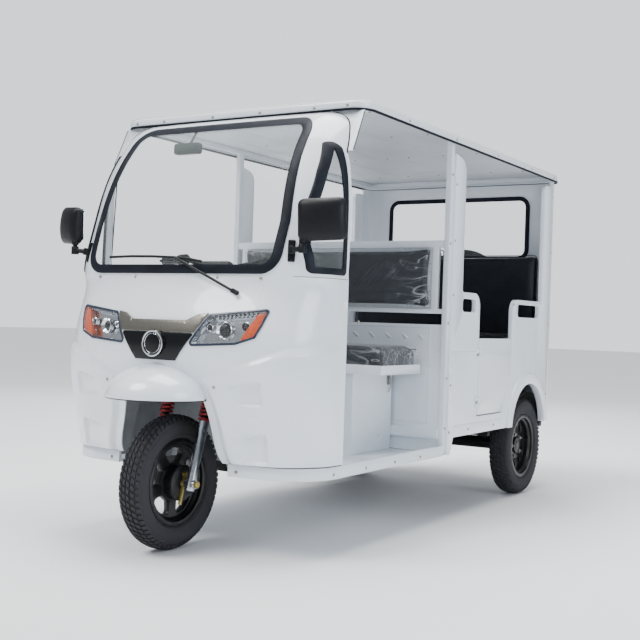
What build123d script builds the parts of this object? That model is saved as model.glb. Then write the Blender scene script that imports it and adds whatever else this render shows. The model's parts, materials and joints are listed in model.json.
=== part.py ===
from build123d import *
import math
import os

os.makedirs("parts", exist_ok=True)

# A three-wheeled passenger rickshaw with a moulded cab, an open-sided cabin and two facing benches.
# Millimetres. +X is the vehicle's left, -Y its front, +Z up. The origin is on the ground, in the middle
# of the overall box. Distances along the body are given behind the front axle and placed by at().

# ---- Wheels and stance ----
wheelbase = 2215.0
front_axle_y = -1200.0
rear_track = 1026.0
wheel_radius = 253.5
front_tyre_width = 95.0
rear_tyre_width = 104.0
rim_seat_radius = 152.0
rim_flange_radius = 165.0

# ---- Body shell ----
body_half = 588.0
cowl_corner = 200.0
cowl_wall = 6.0
sheet = 3.0
side_wall = 22.0
side_out = 595.0
side_edge = body_half - 2.0
floor_bottom = 300.0
floor_thickness = 12.0
floor_top = floor_bottom + floor_thickness
skirt_top = 345.0
cowl_split = 1030.0
cowl_rear = 270.0
cabin_sill = 375.0
cabin_floor = 415.0
roof_edge = 1683.0
roof_height = 90.0
roof_half = 600.0
roof_front = 334.0
roof_rear = 2560.0
pillar_front = 1146.0
rear_wall_out = 2540.0
rear_corner = 95.0

# ---- Steering ----
rake = 17.0
axis_at_axle = 45.0
steerer_radius = 18.0
running_gap = 0.05
fork_half = 95.0

# ---- Doors ----
door_front = 1498.0
door_rear = 1906.0
door_bottom = 460.0
door_top = 818.0
door_gap = 6.0


def at(distance):
    """Y of a point the given distance behind the front axle."""
    return front_axle_y + distance


rear_axle_y = at(wheelbase)


def block(x, y, z, mode=Mode.ADD):
    """Add a box given by its lowest and highest x, y and z."""
    with Locations(((x[0] + x[1]) / 2, (y[0] + y[1]) / 2, (z[0] + z[1]) / 2)):
        Box(x[1] - x[0], y[1] - y[0], z[1] - z[0], mode=mode)


def rod(start, end, radius, mode=Mode.ADD):
    """Add a round bar from one point to another."""
    axis = Vector(*end) - Vector(*start)
    with BuildSketch(Plane(origin=start, z_dir=axis)) as section:
        Circle(radius)
    extrude(section.sketch, amount=axis.length, mode=mode)


def bar(start, end, width, height, mode=Mode.ADD):
    """Add a box-section bar from one point to another, its width kept level."""
    axis = Vector(*end) - Vector(*start)
    level = axis.cross(Vector(0, 0, 1))
    x_dir = level if level.length > 1e-6 else Vector(1, 0, 0)
    with BuildSketch(Plane(origin=start, x_dir=x_dir, z_dir=axis)) as section:
        Rectangle(width, height)
    extrude(section.sketch, amount=axis.length, mode=mode)


def outline(plane, points, radius=0.0):
    """A closed outline on a plane, its corners rounded where a radius is given."""
    with BuildSketch(plane) as shape:
        with BuildLine():
            Polyline(*points, close=True)
        make_face()
        if radius:
            fillet(shape.vertices(), radius)
    return shape.sketch


def finish(part, name):
    """Label a piece and write it out."""
    part.part.label = name
    export_step(part.part, f"parts/{name}.step")


# ---------------------------------------------------------------------------------------------
# Cowl: plan sections of the moulded front, each with its height, the place of its foremost point
# behind the axle, and how far it has fallen back where the corner starts.
# ---------------------------------------------------------------------------------------------
# height, foremost point, fall to the corner
lower_levels = [
    (skirt_top, -8.0, 18.0),
    (500.0, -46.0, 22.0),
    (640.0, -90.0, 30.0),
    (763.0, -119.0, 45.0),
    (830.0, -109.0, 45.0),
    (920.0, -70.0, 38.0),
    (cowl_split, -10.0, 6.0),
]
upper_levels = [
    (cowl_split, -10.0, 6.0),
    (1180.0, 18.0, 6.0),
    (1340.0, 70.0, 6.0),
    (1500.0, 148.0, 6.0),
    (1600.0, 225.0, 6.0),
    (1640.0, 268.0, 6.0),
    (1675.0, 330.0, 6.0),
]


def cowl_section(level, grow, rear):
    """Plan section of the cowl at one level, grown outwards by a distance."""
    height, nose, fall = level
    corner_x = body_half - cowl_corner
    front_radius = (corner_x**2 + fall**2) / (2 * fall)
    turn = math.asin(corner_x / front_radius)
    corner_radius = cowl_corner / (1 - math.sin(turn))
    middle = (turn + math.pi / 2) / 2
    centre = (
        corner_x - corner_radius * math.sin(turn),
        at(nose + fall) + corner_radius * math.cos(turn),
    )
    reach = corner_radius + grow
    start = (centre[0] + reach * math.sin(turn), centre[1] - reach * math.cos(turn))
    bend = (centre[0] + reach * math.sin(middle), centre[1] - reach * math.cos(middle))
    end = (body_half + grow, centre[1])
    back = (body_half + grow, at(rear))
    with BuildSketch(Plane.XY.offset(height)) as section:
        with BuildLine():
            ThreePointArc((-start[0], start[1]), (0, at(nose) - grow), start)
            ThreePointArc(start, bend, end)
            Line(end, back)
            Line(back, (-back[0], back[1]))
            Line((-back[0], back[1]), (-end[0], end[1]))
            ThreePointArc((-end[0], end[1]), (-bend[0], bend[1]), (-start[0], start[1]))
        make_face()
    return section.sketch


def cowl_block(levels, grow, rear=620.0):
    """The solid inside the cowl's skin, grown outwards by a distance."""
    return loft([cowl_section(level, grow, rear) for level in levels], mode=Mode.PRIVATE)


def cowl_layer(levels, outer, inner):
    """The skin between two distances from the cowl's face."""
    return cowl_block(levels, outer) - cowl_block(levels, inner, rear=700.0)


def front_prism(shape, depth=700.0):
    """A front-view outline carried back through the cowl."""
    return extrude(shape, amount=-depth, mode=Mode.PRIVATE)


front_view = Plane.XZ.offset(-at(-300.0))

# ---- Front-view outlines: x, z ----
screen_points = [(-440, 1053), (440, 1053), (446, 1230), (412, 1634), (-412, 1634), (-446, 1230)]
lamp_points = [(143, 767), (340, 780), (412, 806), (430, 850), (447, 914), (218, 889)]
nose_points = [(-93, 714), (93, 714), (169, 816), (-169, 816)]
trim_points = [
    (-170, 817), (170, 817), (214, 892), (172, 886), (125, 863), (-125, 863), (-172, 886), (-214, 892),
]
arch_points = [(-252, 290), (252, 290), (186, 575), (150, 660), (-150, 660), (-186, 575)]

# ---- Side-view outline of the quarter window: distance behind the axle, z ----
quarter_points = [(72, 1055), (232, 1055), (238, 1515), (222, 1535), (164, 1420), (108, 1290), (66, 1150)]

screen_lip = 17.0
quarter_lip = 12.0
lip_proud = 5.0
glass_inset = 6.0


def grown(shape, amount):
    """An outline moved outwards, or inwards for a negative amount."""
    return offset(shape, amount, kind=Kind.ARC, mode=Mode.PRIVATE)


screen_shape = outline(front_view, screen_points, 62)
quarter_plane = Plane.YZ.offset(300.0)
quarter_shape = outline(quarter_plane, [(at(a), z) for a, z in quarter_points], 9)


def rounded_outline(plane, corners):
    """A closed outline of straight runs joined by arcs; each corner is (u, v, radius)."""
    runs = []
    count = len(corners)
    for index, (u, v, radius) in enumerate(corners):
        here = Vector(u, v)
        before = Vector(*corners[index - 1][:2]) - here
        after = Vector(*corners[(index + 1) % count][:2]) - here
        if radius:
            half_angle = math.radians(before.get_angle(after)) / 2
            reach = radius / math.tan(half_angle)
            start = here + before.normalized() * reach
            end = here + after.normalized() * reach
            bisector = (before.normalized() + after.normalized()).normalized()
            middle = here + bisector * (radius / math.sin(half_angle) - radius)
            runs.append((start, middle, end))
        else:
            runs.append((here, None, here))
    with BuildSketch(plane) as shape:
        with BuildLine():
            for index, (start, middle, end) in enumerate(runs):
                if middle is not None:
                    ThreePointArc(start, middle, end)
                Line(end, runs[(index + 1) % count][0])
        make_face()
    return shape.sketch


def side_prism(shape, depth=400.0):
    """A side-view outline carried out through the cowl's left side."""
    return extrude(shape, amount=depth, mode=Mode.PRIVATE)


# ---- Front cowl: the lower moulding from the skirt to the screen ----
with BuildPart() as front_cowl:
    add(cowl_layer(lower_levels, 0, -cowl_wall))
    block((-700, 700), (at(cowl_rear), at(900)), (0, 1200), Mode.SUBTRACT)
    add(front_prism(outline(front_view, arch_points), 420), mode=Mode.SUBTRACT)
    lamp_hole = front_prism(outline(front_view, lamp_points, 14), 420)
    add(lamp_hole, mode=Mode.SUBTRACT)
    add(lamp_hole.mirror(Plane.YZ), mode=Mode.SUBTRACT)
finish(front_cowl, "front_cowl")

# ---- Windscreen frame: the upper moulding, open for the screen and the quarter windows ----
frame_top = 1675.0
gusset_drop = 165.0
gusset_foot = frame_top - gusset_drop
cowl_top_rear = 350.0
frame_trim = [
    (cowl_rear, 1000), (cowl_rear, gusset_foot), (cowl_top_rear, frame_top), (900, frame_top), (900, 1000),
]
with BuildPart() as windscreen_frame:
    add(cowl_layer(upper_levels, 0, -cowl_wall))
    rear_cut = outline(Plane.YZ.offset(-700), [(at(a), z) for a, z in frame_trim])
    extrude(rear_cut, amount=1400, mode=Mode.SUBTRACT)
    add(front_prism(screen_shape), mode=Mode.SUBTRACT)
    quarter_hole = side_prism(quarter_shape)
    add(quarter_hole, mode=Mode.SUBTRACT)
    add(quarter_hole.mirror(Plane.YZ), mode=Mode.SUBTRACT)
finish(windscreen_frame, "windscreen_frame")

# ---- Rear window outline, on the rear wall ----
rear_plane = Plane.XZ.offset(-at(rear_wall_out - side_wall))
rear_window_points = [(-428, 1262), (428, 1262), (428, 1598), (-428, 1598)]
rear_window_shape = outline(rear_plane, rear_window_points, 50)

# ---- Glass: screen, two quarter windows and the rear window ----
glass = 4.0
glass_clear = 1.0
with BuildPart() as window_glass:
    pane = cowl_layer(upper_levels, 0, -glass)
    add(pane & front_prism(grown(screen_shape, -glass_clear)))
    quarter_pane = pane & side_prism(grown(quarter_shape, -glass_clear))
    add(quarter_pane)
    add(quarter_pane.mirror(Plane.YZ))
    extrude(grown(rear_window_shape, -glass_clear), amount=-glass)
finish(window_glass, "window_glass")

# ---- Rubber gaskets, seated on the face of the panel and of the pane ----
with BuildPart() as window_gaskets:
    proud = cowl_layer(upper_levels, lip_proud, 0)
    add(proud & front_prism(grown(screen_shape, screen_lip) - grown(screen_shape, -screen_lip)))
    quarter_ring = grown(quarter_shape, quarter_lip) - grown(quarter_shape, -quarter_lip)
    quarter_seal = proud & side_prism(quarter_ring)
    add(quarter_seal)
    add(quarter_seal.mirror(Plane.YZ))
    rear_ring = grown(rear_window_shape, quarter_lip) - grown(rear_window_shape, -quarter_lip)
    extrude(rear_ring, amount=lip_proud)
finish(window_gaskets, "window_gaskets")

# ---------------------------------------------------------------------------------------------
# Front dressing: hood over the wheel, lamps, nose panel and trim strip
# ---------------------------------------------------------------------------------------------
hood_centre = -75.0
hood_radius = 205.0
hood_rim = 575.0
hood_height = 125.0
hood_wall = 4.0
lamp_rim = 9.0
lamp_depth = 34.0
lamp_proud = 4.0
amber_points = [(350, 793), (410, 812), (424, 850), (432, 902), (400, 890)]
trim_proud = 8.0
badge_radius = 50.0
badge_height = 774.0

lower_face = cowl_block(lower_levels, 0)
lower_proud = cowl_block(lower_levels, lamp_proud)
lower_back = cowl_block(lower_levels, -lamp_depth, rear=700.0)
lower_bowl = cowl_block(lower_levels, 4 - lamp_depth, rear=700.0)
lens_back = cowl_block(lower_levels, -2, rear=700.0)
lens_face = cowl_block(lower_levels, 2)
lamp_shape = outline(front_view, lamp_points, 14)

with BuildPart() as wheel_hood:
    with BuildSketch(Plane.XZ.offset(-at(hood_centre))) as hood_profile:
        with BuildLine():
            outer_arc = EllipticalCenterArc((0, hood_rim), hood_radius, hood_height, arc_size=90)
            inner_arc = EllipticalCenterArc(
                (0, hood_rim), hood_radius - hood_wall, hood_height - hood_wall, arc_size=90
            )
            Line(outer_arc @ 0, inner_arc @ 0)
            Line(outer_arc @ 1, inner_arc @ 1)
        make_face()
    revolve(axis=Axis((0, at(hood_centre), 0), (0, 0, -1)), revolution_arc=180)
    add(lower_face, mode=Mode.SUBTRACT)
finish(wheel_hood, "wheel_hood")

with BuildPart() as headlamp_housings:
    bezel = front_prism(grown(lamp_shape, -0.5), 420)
    bowl = front_prism(grown(lamp_shape, -lamp_rim), 420)
    housing = (lower_proud & bezel) - lower_back - ((lower_proud & bowl) - lower_bowl)
    add(housing)
    add(housing.mirror(Plane.YZ))
finish(headlamp_housings, "headlamp_housings")

with BuildPart() as headlamp_lenses:
    lens = (lens_face & front_prism(grown(lamp_shape, -lamp_rim - 0.3), 420)) - lens_back
    add(lens)
    add(lens.mirror(Plane.YZ))
finish(headlamp_lenses, "headlamp_lenses")

with BuildPart() as turn_signals:
    amber_face = cowl_block(lower_levels, -4)
    bowl_space = front_prism(grown(lamp_shape, -lamp_rim - 0.4), 420)
    amber = (amber_face & front_prism(outline(front_view, amber_points, 4), 420) & bowl_space) - lower_bowl
    add(amber)
    add(amber.mirror(Plane.YZ))
finish(turn_signals, "turn_signals")

with BuildPart() as nose_trim:
    trim_front = cowl_block(lower_levels, trim_proud)
    add((trim_front & front_prism(grown(outline(front_view, trim_points), -1), 420)) - lower_face)
finish(nose_trim, "nose_trim")

with BuildPart() as nose_panel:
    nose_front = cowl_block(lower_levels, 5)
    add((nose_front & front_prism(outline(front_view, nose_points, 6), 420)) - lower_face)
    with BuildSketch(Plane.XZ.offset(-at(-132.0))):
        with Locations((0, badge_height)):
            Circle(badge_radius)
    extrude(amount=-20)
    add(lower_face, mode=Mode.SUBTRACT)
    add(nose_trim.part, mode=Mode.SUBTRACT)
finish(nose_panel, "nose_panel")

# ---------------------------------------------------------------------------------------------
# Roof: moulded shell with long ribs, edge trim, liner, and the frame under it
# ---------------------------------------------------------------------------------------------
roof_wall = 4.0
roof_crown = 78.0
roof_round = 38.0
roof_corner = 75.0
roof_ribs = [-410.0, -205.0, 0.0, 205.0, 410.0]
rib_half = 52.0
rib_height = 9.0
rib_front = 425.0
rib_rear = 2470.0
edge_trim = 8.0
liner_rise = 29.0
liner_height = roof_edge + liner_rise
rail_width = 25.0
rail_bottom = 1690.0
pillar_depth = 30.0


def roof_plan(height, grow):
    """Plan outline of the roof at a height."""
    length = roof_rear - roof_front + 2 * grow
    with BuildSketch(Plane.XY.offset(height)) as plan:
        with Locations((0, at((roof_front + roof_rear) / 2))):
            RectangleRounded(2 * (roof_half + grow), length, roof_corner + grow)
    return plan.sketch


with BuildPart() as roof_shell:
    extrude(roof_plan(roof_edge, 0), amount=roof_crown)
    fillet(roof_shell.faces().sort_by(Axis.Z)[-1].edges(), roof_round)
    offset(amount=-roof_wall, openings=roof_shell.faces().sort_by(Axis.Z)[0])
    roof_top = roof_edge + roof_crown
    for rib in roof_ribs:
        with BuildSketch(Plane.XZ.offset(-at(rib_front))) as rib_profile:
            with BuildLine():
                Polyline((rib + rib_half, roof_top), (rib + rib_half, roof_top - 2),
                         (rib - rib_half, roof_top - 2), (rib - rib_half, roof_top))
                ThreePointArc((rib - rib_half, roof_top), (rib, roof_top + rib_height),
                              (rib + rib_half, roof_top))
            make_face()
        extrude(amount=-(rib_rear - rib_front))
finish(roof_shell, "roof_shell")

with BuildPart() as roof_edge_trim:
    extrude(roof_plan(roof_edge - edge_trim, 2), amount=edge_trim)
    extrude(roof_plan(roof_edge - edge_trim, -roof_wall - 1), amount=edge_trim, mode=Mode.SUBTRACT)
finish(roof_edge_trim, "roof_edge_trim")

with BuildPart() as roof_liner:
    extrude(roof_plan(liner_height, -roof_wall - 1), amount=sheet)
finish(roof_liner, "roof_liner")

with BuildPart() as cabin_frame:
    rail_x = (side_edge - rail_width, side_edge)
    bow_front = cowl_top_rear + 1
    bow_rear = rear_wall_out - side_wall - rail_width
    for side in (-1, 1):
        block(sorted((side * rail_x[0], side * rail_x[1])), (at(bow_front), at(bow_rear + rail_width)),
              (rail_bottom, liner_height))
        block(sorted((side * 448, side * side_edge)), (at(bow_front), at(bow_front + 3 + rail_width)),
              (frame_top - 6, liner_height))
    for bow in (bow_front + 3, bow_rear):
        block((-rail_x[0], rail_x[0]), (at(bow), at(bow + rail_width)), (rail_bottom, liner_height))
    frame_space = liner_height - frame_top + 20
    extrude(roof_plan(frame_top - 10, -roof_wall - 1.2), amount=frame_space, mode=Mode.INTERSECT)
    gusset_rise = math.hypot(cowl_top_rear - cowl_rear, frame_top - gusset_foot)
    gusset_plane = Plane(
        origin=(0, at(cowl_rear), gusset_foot),
        x_dir=(1, 0, 0),
        z_dir=(0, gusset_foot - frame_top, cowl_top_rear - cowl_rear),
    )
    for side in (-1, 1):
        block(sorted((side * rail_x[0], side * rail_x[1])),
              (at(pillar_front), at(pillar_front + pillar_depth)),
              (floor_bottom + floor_thickness, rail_bottom))
        gusset = outline(gusset_plane, [
            (side * rail_x[0], 0), (side * body_half, 0),
            (side * body_half, gusset_rise), (side * 448, gusset_rise),
        ])
        extrude(gusset, amount=-sheet)
finish(cabin_frame, "cabin_frame")

# ---------------------------------------------------------------------------------------------
# Body sides, rear and partition
# ---------------------------------------------------------------------------------------------
side_in = side_out - side_wall
flange_rear = 1287.0
flange_top = 1612.0
armrest_top = 1027.0
rear_armrest_top = 1015.0
c_panel_front = 2328.0
c_panel_top = 1642.0
arch_centre = (2155.0, 353.0)
arch_radius = 233.0
flare_width = 56.0
flare_proud = 12.0
crease = 3.0
side_front = pillar_front + pillar_depth
side_rear = rear_wall_out - rear_corner
foot_bottom = 300.0
hinge_x = 602.0
hinge_offset = 3.0
hinge_radius = 7.0
pin_radius = 3.0
hinge_heights = (520.0, 745.0)
hinge_y = at(door_front - hinge_offset)
knuckle = 16.0
opening_front = door_front - door_gap
opening_rear = door_rear + door_gap
opening_bottom = door_bottom - door_gap
door_slant = [(100.0, 0.0), (52.0, 105.0), (0.0, 245.0)]

# distance behind the axle, z, and the corner's radius
side_points = [
    (side_front, foot_bottom, 0), (side_front + 26, foot_bottom, 0), (side_front + 58, cabin_sill, 0),
    (side_rear, cabin_sill, 0), (side_rear, c_panel_top, 0), (c_panel_front, c_panel_top, 34),
    (c_panel_front, rear_armrest_top, 10), (opening_rear, rear_armrest_top, 62),
    (opening_rear, opening_bottom + door_slant[2][1], 0),
    (opening_rear - door_slant[1][0], opening_bottom + door_slant[1][1], 0),
    (opening_rear - door_slant[0][0], opening_bottom, 0),
    (opening_front, opening_bottom, 0), (opening_front, armrest_top, 62), (flange_rear, armrest_top, 14),
    (flange_rear, flange_top, 58), (side_front, flange_top + 22, 0),
]
# hand hole: front, rear, bottom, top
hand_holes = [(1294.0, 1446.0, 938.0, 998.0), (1980.0, 2290.0, 927.0, 992.0)]


def rounded(points, side):
    """A side-view outline whose corners each have a radius of their own."""
    return rounded_outline(Plane.YZ.offset(side), [(at(y), z, radius) for y, z, radius in points])


for side_name, turn_over in (("side_panel_left", False), ("side_panel_right", True)):
    with BuildPart() as side_panel:
        extrude(rounded(side_points, side_in), amount=side_wall)
        for front, rear, low, high in hand_holes:
            with BuildSketch(Plane.YZ.offset(side_in)) as hole:
                with Locations((at((front + rear) / 2), (low + high) / 2)):
                    RectangleRounded(rear - front, high - low, 16)
            extrude(amount=side_wall, mode=Mode.SUBTRACT)
        with BuildSketch(Plane.YZ.offset(side_in)) as arch:
            with Locations((at(arch_centre[0]), arch_centre[1])):
                Circle(arch_radius)
        extrude(amount=side_wall, mode=Mode.SUBTRACT)
        with BuildSketch(Plane.YZ.offset(side_out - 1)) as flare:
            with Locations((at(arch_centre[0]), arch_centre[1])):
                Circle(arch_radius + flare_width)
                Circle(arch_radius, mode=Mode.SUBTRACT)
            with Locations((at(arch_centre[0]), cabin_sill - 250)):
                Rectangle(900, 500, mode=Mode.SUBTRACT)
        extrude(amount=flare_proud + 1)
        rims = side_panel.edges().filter_by(GeomType.CIRCLE).group_by(Axis.X)[-1]
        fillet(rims.filter_by(lambda e: e.radius > arch_radius + 1), flare_proud - 2)
        block((side_out - crease, side_out + 1), (at(side_front + 4), at(1462)), (757, 763), Mode.SUBTRACT)
        block((side_out - crease, side_out + 1), (at(side_front + 60), at(1800)), (424, 430), Mode.SUBTRACT)
        for height in hinge_heights:
            for start in (height - 1.5 * knuckle, height + 0.5 * knuckle):
                with BuildSketch(Plane.XY.offset(start)):
                    with Locations((hinge_x, hinge_y)):
                        Circle(hinge_radius)
                extrude(amount=knuckle)
                block((side_out - 2, hinge_x), (hinge_y - 34, hinge_y - 4), (start, start + knuckle))
            with BuildSketch(Plane.XY.offset(height - 1.5 * knuckle)):
                with Locations((hinge_x, hinge_y)):
                    Circle(pin_radius)
            extrude(amount=3 * knuckle)
        if turn_over:
            mirror(about=Plane.YZ, mode=Mode.REPLACE)
    finish(side_panel, side_name)

# ---- Low doors, hung on the knuckles at their front edge ----
door_points = [
    (door_front, door_bottom, 10), (door_rear - door_slant[0][0], door_bottom, 0),
    (door_rear - door_slant[1][0], door_bottom + door_slant[1][1], 0),
    (door_rear, door_bottom + door_slant[2][1], 0), (door_rear, door_top, 12), (door_front, door_top, 12),
]
for door_name, turn_over in (("door_left", False), ("door_right", True)):
    with BuildPart() as door:
        extrude(rounded(door_points, side_in), amount=side_wall)
        for height in hinge_heights:
            low = height - 0.5 * knuckle + 0.5
            with BuildSketch(Plane.XY.offset(low)):
                with Locations((hinge_x, hinge_y)):
                    Circle(hinge_radius)
            extrude(amount=knuckle - 1)
            block((side_out - 2, hinge_x + 3), (hinge_y + 4, hinge_y + 40), (low, low + knuckle - 1))
            with BuildSketch(Plane.XY.offset(low - 1)):
                with Locations((hinge_x, hinge_y)):
                    Circle(pin_radius + running_gap)
            extrude(amount=knuckle + 1, mode=Mode.SUBTRACT)
        if turn_over:
            mirror(about=Plane.YZ, mode=Mode.REPLACE)
    finish(door, door_name)

# ---- Rear panel, wrapped round both corners, with its window and plate holes ----
plate_spacing, plate_height, plate_hole = 140.0, 520.0, 3.5
with BuildPart() as rear_panel:
    with BuildSketch(Plane.XY.offset(cabin_sill)):
        with BuildLine():
            out, wall_in = side_out, side_in
            turn_x, turn_y = side_out - rear_corner, at(side_rear)
            back, back_in = at(rear_wall_out), at(rear_wall_out - side_wall)
            outer_bend = rear_corner * math.sin(math.pi / 4)
            inner_bend = (rear_corner - side_wall) * math.sin(math.pi / 4)
            ThreePointArc((out, turn_y), (turn_x + outer_bend, turn_y + outer_bend), (turn_x, back))
            Line((turn_x, back), (-turn_x, back))
            ThreePointArc((-turn_x, back), (-turn_x - outer_bend, turn_y + outer_bend), (-out, turn_y))
            Line((-out, turn_y), (-wall_in, turn_y))
            ThreePointArc((-wall_in, turn_y), (-turn_x - inner_bend, turn_y + inner_bend), (-turn_x, back_in))
            Line((-turn_x, back_in), (turn_x, back_in))
            ThreePointArc((turn_x, back_in), (turn_x + inner_bend, turn_y + inner_bend), (wall_in, turn_y))
            Line((wall_in, turn_y), (out, turn_y))
        make_face()
    extrude(amount=rail_bottom - 15 - cabin_sill)
    extrude(rear_window_shape, amount=-side_wall, mode=Mode.SUBTRACT)
    with BuildSketch(Plane.XZ.offset(-at(rear_wall_out))):
        with Locations((-plate_spacing / 2, plate_height), (plate_spacing / 2, plate_height)):
            Circle(plate_hole)
    extrude(amount=side_wall, mode=Mode.SUBTRACT)
finish(rear_panel, "rear_panel")

# ---- Floors ----
well_half = 262.0
well_rear = 320.0
well_top = 680.0
column_hole = 42.0
upright = (330.0, 365.0)
upright_x = (238.0, 278.0)
mat_half = 530.0
mat_thickness = 3.0
front_mat = (430.0, 752.0)
rear_mat = (1505.0, 1915.0)
liner_x = (440.0, side_in - 1.0)
liner_radius = 285.0
with BuildPart() as front_floor:
    floor_level = (floor_bottom, -4.0, 16.0)
    rim_rear = pillar_front - 1
    plate = cowl_section(floor_level, 3, rim_rear)
    extrude(plate, amount=skirt_top - floor_bottom)
    extrude(cowl_section((floor_bottom + floor_thickness, -4.0, 16.0), -14, rim_rear + 20),
            amount=skirt_top, mode=Mode.SUBTRACT)
    block((-well_half, well_half), (at(-300), at(well_rear)), (0, skirt_top + 10), Mode.SUBTRACT)
    block((well_half - sheet, well_half), (at(40), at(well_rear)), (floor_bottom, well_top))
    block((-well_half, sheet - well_half), (at(40), at(well_rear)), (floor_bottom, well_top))
    block((-well_half, well_half), (at(well_rear - sheet), at(well_rear)), (floor_bottom, well_top))
    block((-well_half, well_half), (at(40), at(well_rear)), (well_top - sheet, well_top))
    block((-mat_half, mat_half), (at(front_mat[0]), at(front_mat[1])),
          (floor_top, floor_top + mat_thickness))
    axis_at_top = axis_at_axle + (well_top - wheel_radius) * math.tan(math.radians(rake))
    with BuildSketch(Plane.XY.offset(well_top - 10)):
        with Locations((0, at(axis_at_top))):
            Circle(column_hole)
    extrude(amount=20, mode=Mode.SUBTRACT)
    for side in (-1, 1):
        block(sorted((side * (upright_x[0] - 1), side * (upright_x[1] + 1))),
              (at(upright[0] - 1), at(upright[1] + 1)), (floor_bottom - 5, floor_bottom + 60), Mode.SUBTRACT)
finish(front_floor, "front_floor")

cabin_floor_front = side_front + 1
with BuildPart() as rear_floor:
    block((-side_in + 1, side_in - 1), (at(cabin_floor_front), at(1925)),
          (cabin_floor - floor_thickness, cabin_floor))
    block((-liner_x[0], liner_x[0]), (at(1925), at(rear_wall_out - side_wall)),
          (cabin_floor - floor_thickness, cabin_floor))
    block((-mat_half, mat_half), (at(rear_mat[0]), at(rear_mat[1])),
          (cabin_floor, cabin_floor + mat_thickness))
finish(rear_floor, "rear_floor")

with BuildPart() as wheel_liners:
    with BuildSketch(Plane.YZ.offset(liner_x[0])):
        with Locations((rear_axle_y, wheel_radius)):
            Circle(liner_radius + sheet)
            Circle(liner_radius, mode=Mode.SUBTRACT)
    extrude(amount=liner_x[1] - liner_x[0])
    with BuildSketch(Plane.YZ.offset(liner_x[0])):
        with Locations((rear_axle_y, wheel_radius)):
            Circle(liner_radius + sheet)
    extrude(amount=sheet)
    block((0, 900), (at(1800), at(2700)), (-200, cabin_sill), Mode.SUBTRACT)
    mirror(about=Plane.YZ)
    add(rear_panel.part, mode=Mode.SUBTRACT)
finish(wheel_liners, "wheel_liners")

# ---- Partition between driver and cabin ----
panel_front = 1150.0
panel_wall = 24.0
panel_top = 876.0
rail_low = (925.0, 946.0)
rail_high = (1218.0, 1250.0)
post_x = (504.0, 534.0)
between = side_edge - rail_width
with BuildPart() as partition_panel:
    block((-between, between), (at(panel_front), at(panel_front + panel_wall)),
          (floor_bottom + floor_thickness, panel_top))
    block((-between, between), (at(panel_front - 14), at(panel_front)), (372, 418))
finish(partition_panel, "partition_panel")

with BuildPart() as partition_rails:
    for low, high in (rail_low, rail_high):
        block((-between, between), (at(panel_front), at(panel_front + panel_wall)), (low, high))
    block((-post_x[0], post_x[0]), (at(panel_front + 9), at(panel_front + 15)), (rail_low[1], rail_high[0]))
    for side in (-1, 1):
        block(sorted((side * post_x[0], side * post_x[1])), (at(panel_front), at(panel_front + panel_wall)),
              (rail_low[1], rail_high[0]))
finish(partition_rails, "partition_rails")

# ---------------------------------------------------------------------------------------------
# Seats
# ---------------------------------------------------------------------------------------------
seat_gap = 0.3
tray_half = 470.0
tray_front = 768.0
tray_low, tray_high = 657.0, 697.0
pedestal_half = 330.0
pedestal_front = 780.0
seat_top = 777.0
bench_low = 740.0
bench_board = 12.0
cushion_top = 842.0
cushion_half = 555.0
front_bench = (side_front, 1486.0)
rear_bench = (1934.0, rear_wall_out - side_wall)


with BuildPart() as seat_pedestal:
    tray_rear = panel_front - 16
    block((-pedestal_half, pedestal_half), (at(pedestal_front), at(tray_rear)), (floor_top, tray_low))
    block((sheet - pedestal_half, pedestal_half - sheet), (at(pedestal_front + sheet), at(tray_rear - sheet)),
          (floor_top, tray_low), Mode.SUBTRACT)
    block((-tray_half, tray_half), (at(tray_front), at(tray_rear)), (tray_low, tray_high))
    block((sheet - tray_half, tray_half - sheet), (at(tray_front + sheet), at(tray_rear - sheet)),
          (tray_low + sheet, tray_high), Mode.SUBTRACT)
finish(seat_pedestal, "seat_pedestal")

with BuildPart() as driver_seat:
    inset = sheet + 1.5
    block((inset - tray_half, tray_half - inset), (at(tray_front + inset), at(tray_rear - inset)),
          (tray_low + sheet + seat_gap, seat_top))
    fillet(driver_seat.edges().filter_by(Axis.Z), 22)
    fillet(driver_seat.faces().sort_by(Axis.Z)[-1].edges(), 16)
finish(driver_seat, "driver_seat")

with BuildPart() as partition_backrests:
    rest_low, rest_high = rail_low[1] + 2, rail_high[0] - 2
    block((2 - post_x[0], post_x[0] - 2), (at(panel_front - 34), at(panel_front + 9 - seat_gap)),
          (rest_low, rest_high))
    block((-545, 545), (at(panel_front + panel_wall + seat_gap), at(panel_front + panel_wall + 50)),
          (rest_low, rest_high))
finish(partition_backrests, "partition_backrests")

with BuildPart() as bench_bases:
    half = side_in - 2
    block((-half, half), (at(front_bench[1] - bench_board), at(front_bench[1])), (cabin_floor, bench_low))
    block((-half, half), (at(front_bench[0]), at(front_bench[1])), (bench_low, bench_low + bench_board))
    block((-half, half), (at(rear_bench[0]), at(rear_bench[0] + bench_board)), (cabin_floor, bench_low))
    rear_end = at(side_rear)
    block((-half, half), (at(rear_bench[0]), rear_end), (bench_low, bench_low + bench_board))
    back_board = (at(2404), at(2404 + bench_board))
    block((-half + 8, half - 8), back_board, (bench_low + bench_board, 1250))
finish(bench_bases, "bench_bases")

with BuildPart() as bench_cushions:
    seat_low = bench_low + bench_board + seat_gap
    block((-cushion_half, cushion_half), (at(front_bench[0] + 4), at(front_bench[1] + 4)),
          (seat_low, cushion_top))
    block((-cushion_half, cushion_half), (at(rear_bench[0] - 4), at(2330)), (seat_low, cushion_top))
    fillet(bench_cushions.edges().filter_by(Axis.Z), 20)
    fillet(bench_cushions.faces().filter_by(Plane.XY).group_by(Axis.Z)[-1].edges(), 14)
finish(bench_cushions, "bench_cushions")

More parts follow.
